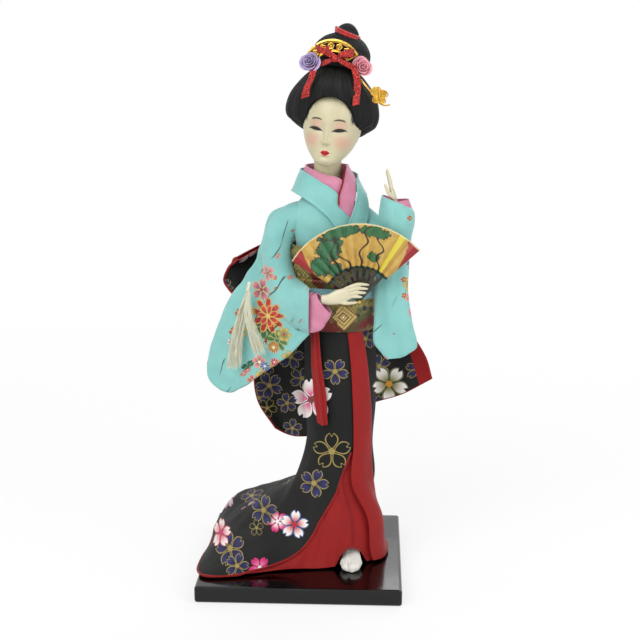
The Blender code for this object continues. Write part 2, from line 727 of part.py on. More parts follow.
def hand(name, palm, palm_talls, palm_wides, upward, fingers, thumb):
    """A palm with four fingers held together and a free thumb."""
    made = loft(name, along([Vector(p) for p in palm], palm_talls, palm_wides, upward, 12), SKIN)
    for k, route in enumerate(list(fingers) + [thumb]):
        places = [Vector(p) for p in spline(mm_route(route), 6)]
        radii = [1.0, 1.0, 0.98, 0.92, 0.8, 0.45]
        digit = tube("%s_digit_%d" % (name, k), places, FINGER, SKIN, radii=radii, sides=3)
        made = join(made, digit)
    made.name = name
    return smooth(made)


hand_right = hand("hand_right", mm_route(((11.5, -26.4, 149.6), (15.5, -27.2, 150), (20, -27.5, 151.4),
                                          (25.2, -27.6, 153.4))),
                  (0.0026, 0.0030, 0.0040, 0.0034), (0.0020, 0.0020, 0.0019, 0.0014), (0, 0, 1),
                  (((23.5, -27.6, 155.6), (30, -27.4, 158.2), (36.2, -26.7, 157.8)),
                   ((23.5, -27.6, 154.1), (30, -27.4, 156.0), (35.6, -26.6, 155.7)),
                   ((23.5, -27.6, 152.6), (30, -27.3, 153.8), (34.6, -26.6, 153.5)),
                   ((23.0, -27.6, 151.2), (28.5, -27.2, 151.7), (32.6, -26.6, 151.3))),
                  ((18.5, -27.4, 149.4), (24, -28.0, 148.2), (30.4, -27.4, 148.7)))
hand_left = hand("hand_left", mm_route(((50.2, -16.9, 193), (49.4, -17.0, 198), (48.4, -17.1, 202.5),
                                        (47.2, -17.1, 207))),
                 (0.0024, 0.0025, 0.0038, 0.0036), (0.0021, 0.0019, 0.0016, 0.0013), (0, -1, 0),
                 (((47.4, -19.6, 206), (46.4, -20.3, 211.5), (45.2, -20.3, 215.3)),
                  ((47.4, -17.9, 206), (46.0, -18.1, 212.5), (44.6, -18.1, 217.3)),
                  ((47.4, -16.3, 206), (45.9, -16.2, 212.2), (44.4, -16.1, 216.3)),
                  ((47.4, -14.8, 205.5), (46.2, -14.3, 210.5), (45.2, -14.1, 213.3))),
                 ((48.4, -19.9, 202.0), (45.6, -21.7, 205.5), (43.6, -22.3, 210.0)))

# Arm wires, from the padded body through the sleeves into the hands
arm_wire_right = tube("arm_wire_right", [Vector(p) for p in spline(
    mm_route(((3, 0, 187), (-9, -1, 185.5), (-13, -4, 174), (-13.5, -8.5, 162), (-10.5, -14.5, 151.5),
              (-3, -20.5, 147.5), (7, -25.2, 147.6), (15, -27.1, 149.9))), 20)], ARM_WIRE, STEEL, sides=2)
arm_wire_left = tube("arm_wire_left", [Vector(p) for p in spline(
    mm_route(((24, 0, 189), (32, -1, 187), (41, -5.5, 176), (47.6, -10, 169), (49.4, -14, 176), (50.8, -15.8, 187),
              (49.9, -16.8, 196))), 20)], ARM_WIRE, STEEL, sides=2)
sleeve_right = carve(sleeve_right, [arm_wire_right])
hand_right = carve(hand_right, [arm_wire_right])
hand_left = carve(hand_left, [arm_wire_left])
torso_core = carve(torso_core, [arm_wire_right, arm_wire_left, leg_wire_left, leg_wire_right])
kimono_bodice = carve(kimono_bodice, [arm_wire_right, arm_wire_left])

# Great bow at the back: knot, two wings and two hanging ends
BOW_THICK = 0.0018
BEHIND = (0.015, -1.0, 0.12)


def bow_piece(name, control, rows, cols, thickness=BOW_THICK, outward=(0.015, 1.0, 0.12)):
    grid = patch([mm_route(line) for line in control], rows, cols)
    return smooth(settle(sheet(name, grid, BLACK_SILK, thickness, outward)))


bpy.ops.mesh.primitive_cube_add(size=1.0, location=mm(15.5, 22.4, 160))
bow_knot = bpy.context.object
for holder in bow_knot.users_collection:
    holder.objects.unlink(bow_knot)
parts.objects.link(bow_knot)
bow_knot.name = "bow_knot"
bow_knot.data.transform(Matrix.Diagonal((0.016, 0.010, 0.022, 1.0)))
bow_knot.data.materials.append(BLACK_SILK)
rounding = bow_knot.modifiers.new("rounding", "BEVEL")
rounding.width = 0.003
rounding.segments = 2
bow_knot = carve(settle(bow_knot), [obi, obi_cord])

bow_loop_left = bow_piece("bow_loop_left", (
    ((9, 22, 169), (-8, 25, 174), (-24, 27, 170), (-38, 26.5, 163)),
    ((8, 23.5, 161), (-9, 28, 161), (-26, 30, 157), (-45.5, 27, 152)),
    ((9, 22, 152), (-8, 25, 147), (-23, 27, 140), (-39.5, 26, 143.5))), 9, 12, thickness=0.0034)
bow_loop_right = bow_piece("bow_loop_right", (
    ((22, 22, 169), (33, 25, 173), (43, 26, 168), (50, 25, 163)),
    ((23, 23.5, 161), (34, 28, 160), (44, 28, 157), (52.5, 26, 153)),
    ((22, 22, 152), (33, 25, 147), (42, 26, 142), (49, 25, 144))), 9, 10, thickness=0.0034)
bow_tail_left = bow_piece("bow_tail_left", (
    ((0, 21, 152), (5, 22, 152), (11, 21.5, 151)),
    ((-22, 21, 128), (-7, 24, 127), (8, 20.5, 126)),
    ((-28.5, 20, 103), (-12, 23, 101), (5, 19.5, 100)),
    ((-27, 19.5, 82), (-13, 22.5, 79), (4, 18.5, 79)),
    ((-17, 19, 65.5), (-8, 20.5, 61), (3.5, 17.5, 61.5))), 14, 8)
bow_tail_right = bow_piece("bow_tail_right", (
    ((20, 21.5, 151), (27, 22, 152), (34, 21, 150)),
    ((30, 21, 128), (43, 24, 127), (56, 21, 125)),
    ((36, 20, 105), (51, 23.5, 107), (67, 21, 109)),
    ((39.5, 19, 82), (54, 20.5, 86), (71.5, 20, 95.5))), 12, 8)
bow_loop_left = carve(bow_loop_left, [bow_knot, obi])
bow_loop_right = carve(bow_loop_right, [bow_knot, obi])
bow_tail_left = carve(bow_tail_left, [bow_knot, bow_loop_left, obi, kimono_skirt, sleeve_right])
bow_tail_right = carve(bow_tail_right, [bow_knot, bow_loop_right, obi, kimono_skirt, sleeve_left])

# Red sash end hanging over the skirt
SASH_THICK = 0.0015
sash_grid = patch([mm_route(line) for line in (
    ((4.4, -12.4, 129.4), (6.8, -14.2, 129.4), (9.2, -15.0, 129.4)),
    ((5.2, -13.0, 114), (7.9, -15.2, 113.5), (10.6, -16.4, 113)),
    ((6.2, -13.6, 98), (9.6, -15.8, 97), (13.0, -17.2, 96.5)),
    ((8.6, -15.2, 79.5), (11.4, -16.8, 78.4), (14.2, -17.8, 79)))], 10, 5)
sash_ribbon = smooth(settle(sheet("sash_ribbon", sash_grid, RED, SASH_THICK, (0.01, 0.5, 0.1))))
sash_ribbon = carve(sash_ribbon, [kimono_skirt, underskirt, skirt_lapel, obi])

# Silk tassel lying on the sleeve
TASSEL_RADIUS = 0.0034


def tassel_tuft(name, points, radii):
    places = [Vector(p) for p in spline(mm_route(points), 8)]
    widths = spline([(r, 0, 0) for r in radii], 8)[:, 0]
    return tube(name, places, TASSEL_RADIUS, WHITE_THREAD, radii=widths, sides=3)


tassel = tassel_tuft("tassel", ((-28.2, -9.0, 152.5), (-31.5, -11.5, 140), (-35, -12.5, 124), (-36.6, -12.6, 111.4)),
                     (0.35, 0.65, 0.85, 1.0))
tassel = join(tassel, tassel_tuft("tassel_short", ((-28.4, -9.6, 151), (-28.4, -13, 141), (-26.6, -15.4, 132),
                                                   (-24.0, -16.8, 122.0)), (0.35, 0.7, 0.85, 0.9)))
tassel = smooth(carve(tassel, [sleeve_right]))

# Head and neck, painted, on a peg in the padded body
HEAD_AT = mm(14.8, -3.0, 239.5)
HEAD_PLACE = (Matrix.Translation(HEAD_AT) @ Matrix.Rotation(HEAD_TURN, 4, "Z")
              @ Matrix.Rotation(HEAD_TILT, 4, "Y"))
HEAD_SIDES = 28
NOSE = 0.0019
NECK_PEG = 0.0050
HEAD_SHAPE = (
    # height, half width, forward shift of the centre, half depth, as shares
    (-0.98, 0.20, -0.66, 0.20), (-0.90, 0.43, -0.52, 0.40), (-0.72, 0.66, -0.30, 0.64),
    (-0.48, 0.85, -0.12, 0.84), (-0.20, 0.96, -0.03, 0.94), (0.10, 1.01, 0.0, 0.99),
    (0.40, 1.0, 0.02, 0.98), (0.68, 0.84, 0.03, 0.83), (0.88, 0.56, 0.03, 0.54), (0.98, 0.18, 0.03, 0.18))


def head_form():
    rings = []
    for high, wide, shift, deep in HEAD_SHAPE:
        line = []
        for x, y, z in ring((0.0, shift * HEAD_HALF_DEPTH, high * HEAD_HALF_HEIGHT),
                            wide * HEAD_HALF_WIDTH, deep * HEAD_HALF_DEPTH, HEAD_SIDES, 2.2):
            near = math.exp(-(x / 0.0016) ** 2 - ((z + 0.0052) / 0.0034) ** 2)
            if y < 0:
                y -= NOSE * near
            line.append(tuple(HEAD_PLACE @ Vector((x, y, z))))
        rings.append(line)
    return rings


head = loft("head", head_form(), SKIN)
neck_route = [mm(13, -1.0, 191), mm(13, -1.0, 202.0), mm(13, -1.0, 203.5), mm(13.2, -1.6, 216), mm(13.8, -2.0, 227)]
neck_radii = [NECK_PEG, NECK_PEG, NECK_RADIUS, NECK_RADIUS * 0.98, NECK_RADIUS * 0.95]
neck_rings = along(neck_route, neck_radii, neck_radii, (0, -1, 0), 20)
head = join(head, loft("neck", neck_rings, SKIN))
head.name = "head"
head = smooth(head)
torso_core = carve(torso_core, [head])
kimono_bodice = carve(kimono_bodice, [head])
under_collar = carve(under_collar, [head])

# Hair: one moulded mass with wings, a bun, a topknot and its red tie
HAIR_SIDES = 32
HAIR_SHAPE = (
    # height in mm, half width, front depth and back depth as shares, droop behind
    (-2.5, 0.64, 0.30, 0.62, 7.0), (-0.8, 0.80, 0.38, 0.82, 7.0), (2.0, 0.93, 0.45, 0.94, 6.0),
    (6.0, 1.0, 0.52, 1.0, 4.0), (11.0, 0.98, 0.60, 1.0, 2.0), (16.0, 0.88, 0.68, 0.95, 1.0),
    (20.5, 0.74, 0.70, 0.84, 0.0), (24.5, 0.60, 0.62, 0.68, 0.0), (27.5, 0.44, 0.46, 0.50, 0.0),
    (29.5, 0.24, 0.24, 0.28, 0.0))


def hair_form():
    rings = []
    for high, wide, front, back, droop in HAIR_SHAPE:
        line = []
        for x, y, _ in ring((0.0, 0.0, 0.0), 1.0, 1.0, HAIR_SIDES):
            deep = front if y < 0 else back
            fall = droop * max(0.0, y) * MM
            line.append(tuple(HEAD_PLACE @ Vector((x * wide * HAIR_HALF_WIDTH + 0.0006,
                                                   y * deep * HAIR_HALF_DEPTH, high * MM - fall))))
        rings.append(line)
    return rings


def face_window():
    """The arch of the hairline, run forward through the hair."""
    outline = []
    half, spring, crown = 0.0134, 0.0045, 0.0148
    for k in range(15):
        turn = math.pi * k / 14
        outline.append((half * math.cos(turn), spring + (crown - spring) * math.sin(turn)))
    outline += [(-half, -0.03), (half, -0.03)]
    rings = [[tuple(HEAD_PLACE @ Vector((x, depth, z))) for x, z in outline] for depth in (-0.05, -0.003)]
    return loft("face_window", rings, SKIN)


hair_cap = loft("hair_cap", hair_form(), HAIR)
window = face_window()
hair_cap = combine(hair_cap, window, "DIFFERENCE")
bpy.data.objects.remove(window, do_unlink=True)
hair_cap = smooth(carve(hair_cap, [head]))


def ball(name, centre, half, finish, segments=20, rings=12):
    """A smooth rounded form in the head's frame, in millimetres."""
    bm = bmesh.new()
    bmesh.ops.create_uvsphere(bm, u_segments=segments, v_segments=rings, radius=1.0)
    mesh = bpy.data.meshes.new(name)
    bmesh.ops.transform(bm, verts=bm.verts, matrix=HEAD_PLACE @ Matrix.Translation(Vector(centre) * MM)
                        @ Matrix.Diagonal((half[0] * MM, half[1] * MM, half[2] * MM, 1.0)))
    bm.to_mesh(mesh)
    bm.free()
    return smooth(add_object(name, mesh, finish))


def hoop(name, centre, half_x, half_y, thick, finish):
    """A closed roll round the hair, in the head's frame."""
    rings = []
    for i in range(24):
        turn = 2 * math.pi * i / 24
        out = Vector((math.sin(turn), -math.cos(turn), 0.0))
        middle = Vector((centre[0] + out.x * half_x, centre[1] + out.y * half_y, centre[2]))
        rings.append([tuple(HEAD_PLACE @ ((middle + out * thick * math.cos(a)
                                          + Vector((0, 0, 1)) * thick * math.sin(a)) * MM))
                      for a in (2 * math.pi * k / 8 for k in range(8))])
    grid = np.array(rings + rings[:1])
    mesh = mesh_of(name, grid[:-1].reshape(-1, 3), [
        (i * 8 + k, i * 8 + (k + 1) % 8, ((i + 1) % 24) * 8 + (k + 1) % 8, ((i + 1) % 24) * 8 + k)
        for i in range(24) for k in range(8)])
    return smooth(add_object(name, mesh, finish))


BUN_AT = (2.2, 1.5, 36.4)
KNOT_AT = (3.2, 0.8, 46.2)
hair_bun = ball("hair_bun", BUN_AT, (BUN_HALF_WIDTH / MM, 12.5, BUN_HALF_HEIGHT / MM), HAIR)
bun_tie = hoop("bun_tie", (KNOT_AT[0], KNOT_AT[1], 46.4), 7.2, 6.6, 0.9, RED)
hair_topknot = ball("hair_topknot", KNOT_AT, (7.0, 6.4, 5.8), HAIR, 16, 10)
hair_bun = carve(hair_bun, [hair_cap, bun_tie])
hair_topknot = carve(hair_topknot, [hair_bun, bun_tie])

# Gilt openwork comb in front of the bun
COMB_OUTER = 0.0150
COMB_INNER = 0.0085
COMB_THICK = 0.0010
COMB_SWEEP = math.radians(64.0)
COMB_AT = (0.5, -12.4, 28.2)
COMB_LEAN = math.radians(-8.0)
COMB_HOLES = 5
COMB_HOLE = 0.0017


def comb_place(radius, turn, depth):
    x = COMB_AT[0] * MM + radius * math.sin(turn + COMB_LEAN)
    z = COMB_AT[2] * MM + radius * math.cos(turn + COMB_LEAN)
    return tuple(HEAD_PLACE @ Vector((x, COMB_AT[1] * MM + depth, z)))


comb_rings = []
for k in range(21):
    turn = COMB_SWEEP * (2.0 * k / 20 - 1.0)
    comb_rings.append([comb_place(COMB_INNER, turn, 0.0), comb_place(COMB_OUTER, turn, 0.0),
                       comb_place(COMB_OUTER, turn, COMB_THICK), comb_place(COMB_INNER, turn, COMB_THICK)])
comb = loft("comb", comb_rings, GOLD)
for k in range(COMB_HOLES):
    turn = COMB_SWEEP * 0.82 * (2.0 * k / (COMB_HOLES - 1) - 1.0)
    middle = 0.5 * (COMB_INNER + COMB_OUTER)
    ends = [Vector(comb_place(middle, turn, -0.002)), Vector(comb_place(middle, turn, COMB_THICK + 0.002))]
    punch = tube("comb_punch", ends, COMB_HOLE, GOLD)
    comb = combine(comb, punch, "DIFFERENCE")
    bpy.data.objects.remove(punch, do_unlink=True)
comb = carve(comb, [hair_bun, hair_cap])


# Red glitter ribbon: two tails and a bow of crossed loops
RIBBON_THICK = 0.0007
ribbon_tail_left = patch([mm_route(line) for line in (
    ((6.4, -17.0, 270), (9.6, -18.0, 269.6)), ((3.6, -20.0, 262), (7.0, -20.8, 262)),
    ((0.6, -20.6, 253.6), (4.8, -21.0, 253.4)))], 9, 4)
ribbon_tail_right = patch([mm_route(line) for line in (
    ((25.4, -16.5, 269.6), (28.6, -15.5, 269)), ((27.4, -19.4, 261), (31, -18.6, 261.5)),
    ((26.8, -20.0, 249.8), (30.4, -19.4, 249.4)))], 9, 4)
hair_ribbon_tail_left = smooth(settle(sheet("hair_ribbon_tail_left", ribbon_tail_left, RED, RIBBON_THICK, BEHIND)))
hair_ribbon_tail_right = smooth(settle(sheet("hair_ribbon_tail_right", ribbon_tail_right, RED, RIBBON_THICK, BEHIND)))
ribbon_loops = patch([mm_route(line) for line in (
    ((8.4, -17.6, 276), (13, -18.8, 277.4), (18, -18.6, 273.4), (23, -18.6, 275.6), (27.2, -17.0, 274.2)),
    ((8.0, -19.6, 272.8), (13, -20.8, 273), (18, -20.2, 271.4), (23, -20.4, 271.6), (27.6, -18.6, 270.8)),
    ((9.0, -18.4, 269.6), (13, -19.4, 269.4), (18, -19.2, 269.4), (23, -19.2, 268.8), (26.4, -18.0, 268.6)))], 6, 13)
hair_ribbon_bow = smooth(settle(sheet("hair_ribbon_bow", ribbon_loops, RED, 0.0012, BEHIND)))
hair_ribbon_bow = carve(hair_ribbon_bow, [hair_cap, hair_bun, comb])
hair_ribbon_tail_left = carve(hair_ribbon_tail_left, [hair_cap, hair_ribbon_bow])
hair_ribbon_tail_right = carve(hair_ribbon_tail_right, [hair_cap, hair_ribbon_bow])


# Two ribbon roses
ROSE_TURNS = 2.3
ROSE_FOLD = 0.0011


def rose(name, centre, facing, radius, finish):
    """A wound ribbon: a low dome with one spiral fold, flat behind."""
    facing = Vector(facing).normalized()
    side = facing.cross(Vector((0, 0, 1))).normalized()
    up = side.cross(facing)
    count, levels = 22, 9
    rows = []
    for level in range(levels):
        share = 1.0 - level / levels
        line = []
        for k in range(count):
            turn = 2 * math.pi * k / count
            phase = (share * ROSE_TURNS + k / count) % 1.0
            swell = radius * (share + 0.05 * math.sin(5 * turn) * share)
            lift = 0.62 * radius * (1.0 - share * share) + ROSE_FOLD * (1.0 - phase)
            line.append(tuple(centre + (side * math.cos(turn) + up * math.sin(turn)) * swell + facing * lift))
        rows.append(line)
    back = [tuple(centre + (side * math.cos(2 * math.pi * k / count) + up * math.sin(2 * math.pi * k / count))
                  * radius * 0.8 - facing * 0.0012) for k in range(count)]
    return smooth(loft(name, [back] + rows, finish))


rose_purple = rose("rose_purple", mm(4.7, -13.0, 272.4), (-0.25, -1.0, 0.25), 0.0058, PURPLE)
rose_pink = rose("rose_pink", mm(31.7, -13.0, 269.2), (0.2, -1.0, 0.25), 0.0056, ROSE_PINK)
ROSE_GAP = 0.00035
rose_purple = carve(rose_purple, [hair_cap, hair_bun, comb, hair_ribbon_bow, hair_ribbon_tail_left], ROSE_GAP)
rose_pink = carve(rose_pink, [hair_cap, hair_bun, comb, hair_ribbon_bow, hair_ribbon_tail_right], ROSE_GAP)

# Gilt hairpin with a butterfly charm
PIN_WIRE = 0.00055
pin_route = [Vector(p) for p in spline(mm_route(((27.5, -10.5, 265), (31.4, -15.5, 261.6), (36.2, -17.0, 256.0),
                                                 (40.4, -17.0, 251.0), (43.2, -16.6, 249.6),
                                                 (46.0, -16.2, 249.8))), 16)]
hairpin = tube("hairpin", pin_route, PIN_WIRE, GOLD, sides=2)


def charm():
    """Four flat wings in one plate round the pin."""
    plate = None
    for x, z, wide, tall in ((38.6, 256.6, 2.2, 2.6), (42.0, 255.4, 2.4, 2.2), (39.0, 252.4, 1.7, 1.9),
                             (41.8, 252.0, 1.6, 1.7)):
        bm = bmesh.new()
        bmesh.ops.create_cone(bm, cap_ends=True, segments=14, radius1=1.0, radius2=1.0, depth=0.9)
        place = (Matrix.Translation(mm(x, -17.0, z)) @ Matrix.Rotation(math.pi / 2, 4, "X")
                 @ Matrix.Diagonal((wide * MM, tall * MM, MM, 1.0)))
        bmesh.ops.transform(bm, verts=bm.verts, matrix=place)
        mesh = bpy.data.meshes.new("charm")
        bm.to_mesh(mesh)
        bm.free()
        wing = add_object("charm", mesh, GOLD)
        plate = wing if plate is None else join(plate, wing)
    return plate


hairpin = join(hairpin, charm())
hairpin.name = "hairpin"
hairpin = carve(hairpin, [hair_cap, rose_pink, hair_ribbon_tail_right])
hair_cap = carve(hair_cap, [hairpin])

# Folding fan: pleated paper leaf, thin ribs behind it and one rivet
FAN_MIDDLE = math.radians(-5.3)
PIVOT = above(*FAN_PIVOT)


def fan_place(radius, turn, depth):
    """A point of the fan: turn from upright, depth back from its front plane."""
    return PIVOT + Vector((radius * math.sin(turn), depth, radius * math.cos(turn)))


leaf_rows = []
for r in range(5):
    radius = FAN_INNER + (FAN_RADIUS - FAN_INNER) * r / 4
    line = []
    for c in range(2 * FAN_PLEATS + 1):
        turn = FAN_MIDDLE + FAN_OPEN * (c / (2.0 * FAN_PLEATS) - 0.5)
        line.append(fan_place(radius, turn, -FAN_PLEAT_DEPTH * (c % 2)))
    leaf_rows.append(line)
fan_leaf = settle(sheet("fan_leaf", np.array([[tuple(p) for p in line] for line in leaf_rows]),
                        FAN_PAPER_GOLD, FAN_PAPER, (0.03, 0.5, 0.17)))

RIB_OUT = FAN_INNER + 0.014
RIB_TAIL = 0.0030
rivet_long = RIB_COUNT * (RIB_THICK + RIB_SPACE) + 0.0012
rivet = tube("fan_rivet", [PIVOT + Vector((0, -0.0006, 0)), PIVOT + Vector((0, rivet_long, 0))],
             RIVET_RADIUS, GOLD, sides=3)
for k in range(RIB_COUNT):
    turn = FAN_MIDDLE + FAN_OPEN * ((k + 0.5) / RIB_COUNT - 0.5)
    deep = GAP + k * (RIB_THICK + RIB_SPACE)
    ahead = Vector((math.sin(turn), 0, math.cos(turn)))
    side = Vector((math.cos(turn), 0, -math.sin(turn)))
    sections = []
    for reach, wide, back in ((-RIB_TAIL, 0.55, deep), (0.004, 0.75, deep), (RIB_OUT, 1.0, GAP)):
        half = RIB_WIDTH * 0.5 * wide
        middle = PIVOT + ahead * reach
        sections.append([tuple(middle + side * sx * half + Vector((0, back + dy * RIB_THICK, 0)))
                         for sx, dy in ((-1, 0), (1, 0), (1, 1), (-1, 1))])
    rib = loft("fan_rib_%d" % (k + 1), sections, DARK_WOOD)
    carve(rib, [rivet], GAP * 0.5)
hand_right = carve(hand_right, [fan_leaf, rivet])
fan_leaf = bpy.data.objects["fan_leaf"]
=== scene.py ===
import json
import math

import bmesh
import bpy
import numpy as np
from mathutils import Matrix, Vector, noise

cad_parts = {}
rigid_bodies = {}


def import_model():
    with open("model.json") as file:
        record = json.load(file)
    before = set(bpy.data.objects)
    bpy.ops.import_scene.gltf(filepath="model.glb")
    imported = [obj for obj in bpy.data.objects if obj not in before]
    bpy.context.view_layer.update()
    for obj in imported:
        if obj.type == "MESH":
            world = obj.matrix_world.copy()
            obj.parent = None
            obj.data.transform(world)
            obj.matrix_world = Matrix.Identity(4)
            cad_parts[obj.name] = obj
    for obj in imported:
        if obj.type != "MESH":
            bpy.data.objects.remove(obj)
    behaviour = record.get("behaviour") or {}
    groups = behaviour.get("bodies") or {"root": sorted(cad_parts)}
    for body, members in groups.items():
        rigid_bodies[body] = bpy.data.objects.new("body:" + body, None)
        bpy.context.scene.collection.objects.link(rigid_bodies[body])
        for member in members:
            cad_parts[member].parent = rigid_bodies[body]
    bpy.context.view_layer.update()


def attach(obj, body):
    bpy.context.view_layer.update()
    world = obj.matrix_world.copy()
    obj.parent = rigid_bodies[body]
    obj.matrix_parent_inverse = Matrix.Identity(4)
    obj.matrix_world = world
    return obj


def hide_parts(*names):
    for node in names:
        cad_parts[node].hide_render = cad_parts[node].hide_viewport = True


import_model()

# Camera at the photographed view: fitted to the six corners of the stand
# that show, in the doll's own frame, with no shift and no depth of field.
MM = 0.001
camera_data = bpy.data.cameras.new("camera")
camera_data.lens = 70.09
camera_data.sensor_width = 36.0
camera = bpy.data.objects.new("camera", camera_data)
camera.location = Vector((39.05, -664.51, 286.75)) * MM
camera.rotation_euler = (math.radians(90.0 - 12.27), 0.0, math.radians(2.56))
bpy.context.scene.collection.objects.link(camera)
bpy.context.scene.camera = camera
bpy.context.scene.view_settings.view_transform = "Standard"

# Studio: a pale floor that fades to a white background with distance, lit by a
# broad front lamp, a softer one from the right and a faint one behind.
WHITE = (1.0, 1.0, 1.0, 1.0)
ROOM_LIGHT = 0.62


def seen_white(tree, lighting, strength):
    """Shown as plain white, while what it lights keeps its own strength."""
    rays = tree.nodes.new("ShaderNodeLightPath").outputs
    share = rays["Is Camera Ray"]
    for kind, other in (("MAXIMUM", rays["Is Glossy Ray"]), ("MAXIMUM", rays["Is Transmission Ray"]),
                        ("MULTIPLY", strength)):
        work = tree.nodes.new("ShaderNodeMath")
        work.operation = kind
        tree.links.new(share, work.inputs[0])
        tree.links.new(other, work.inputs[1])
        share = work.outputs[0]
    mix = tree.nodes.new("ShaderNodeMixShader")
    tree.links.new(share, mix.inputs["Fac"])
    tree.links.new(lighting, mix.inputs[1])
    white = tree.nodes.new("ShaderNodeEmission")
    white.inputs["Color"].default_value = WHITE
    tree.links.new(white.outputs[0], mix.inputs[2])
    return mix.outputs[0]


world = bpy.data.worlds.new("studio")
bpy.context.scene.world = world
world.use_nodes = True
room = world.node_tree.nodes["Background"]
room.inputs["Color"].default_value = WHITE
room.inputs["Strength"].default_value = ROOM_LIGHT
full = world.node_tree.nodes.new("ShaderNodeValue")
full.outputs[0].default_value = 1.0
world.node_tree.links.new(seen_white(world.node_tree, room.outputs[0], full.outputs[0]),
                          world.node_tree.nodes["World Output"].inputs["Surface"])

for name, place, size, power in (("key", (-0.45, -0.85, 0.85), 0.75, 8.2), ("fill", (0.85, -0.65, 0.55), 0.8, 4.2),
                                 ("rim", (0.25, 0.85, 0.75), 0.6, 3.0)):
    lamp = bpy.data.lights.new(name, "AREA")
    lamp.size = size
    lamp.energy = power
    holder = bpy.data.objects.new(name, lamp)
    holder.location = place
    holder.rotation_euler = (Vector((0.0, 0.0, 0.16)) - Vector(place)).to_track_quat("-Z", "Y").to_euler()
    bpy.context.scene.collection.objects.link(holder)

FLOOR_HALF = 3.0
FADE = {"From Min": 0.1, "From Max": 0.75, "To Min": 0.72, "To Max": 1.0}    # white by distance, metres to share
floor_mesh = bpy.data.meshes.new("floor")
floor_mesh.from_pydata([(x, y, -0.0002) for x, y in ((-1, -1), (1, -1), (1, 1), (-1, 1))], [], [(0, 1, 2, 3)])
floor_mesh.transform(Matrix.Diagonal((FLOOR_HALF, FLOOR_HALF, 1.0, 1.0)))
floor = bpy.data.objects.new("floor", floor_mesh)
bpy.context.scene.collection.objects.link(floor)
floor_finish = bpy.data.materials.new("pale_floor")
floor_finish.use_nodes = True
floor_tree = floor_finish.node_tree
floor_shader = floor_tree.nodes["Principled BSDF"]
floor_shader.inputs["Base Color"].default_value = (0.86, 0.86, 0.86, 1.0)
floor_shader.inputs["Roughness"].default_value = 0.9
away = floor_tree.nodes.new("ShaderNodeVectorMath")
away.operation = "LENGTH"
floor_tree.links.new(floor_tree.nodes.new("ShaderNodeTexCoord").outputs["Object"], away.inputs[0])
fade = floor_tree.nodes.new("ShaderNodeMapRange")
floor_tree.links.new(away.outputs["Value"], fade.inputs["Value"])
for socket, value in FADE.items():
    fade.inputs[socket].default_value = value
floor_tree.links.new(seen_white(floor_tree, floor_shader.outputs[0], fade.outputs[0]),
                     floor_tree.nodes["Material Output"].inputs["Surface"])
floor_mesh.materials.append(floor_finish)

# Stand: a square of board with softened edges under thick black lacquer,
# which mirrors the skirt and carries a few faint rub marks.
SRGB = 2.2


def summed(kind, turned=False):
    """One of a share's sums, done by the shader node of that kind."""
    def work(self, other=0.0):
        return self.finish.sum(kind, *((other, self) if turned else (self, other)))
    return work


class Share:
    """A number that a material works out at each point, ready for plain sums."""

    def __init__(self, finish, socket):
        self.finish, self.socket = finish, socket

    __add__ = __radd__ = summed("ADD")
    __mul__ = __rmul__ = summed("MULTIPLY")
    __sub__, __rsub__ = summed("SUBTRACT"), summed("SUBTRACT", turned=True)
    __truediv__, __pow__ = summed("DIVIDE"), summed("POWER")
    __gt__, __lt__ = summed("GREATER_THAN"), summed("LESS_THAN")
    __abs__, root, part = summed("ABSOLUTE"), summed("SQRT"), summed("FRACT")
    sine, cosine, bearing, smaller = summed("SINE"), summed("COSINE"), summed("ARCTAN2"), summed("MINIMUM")


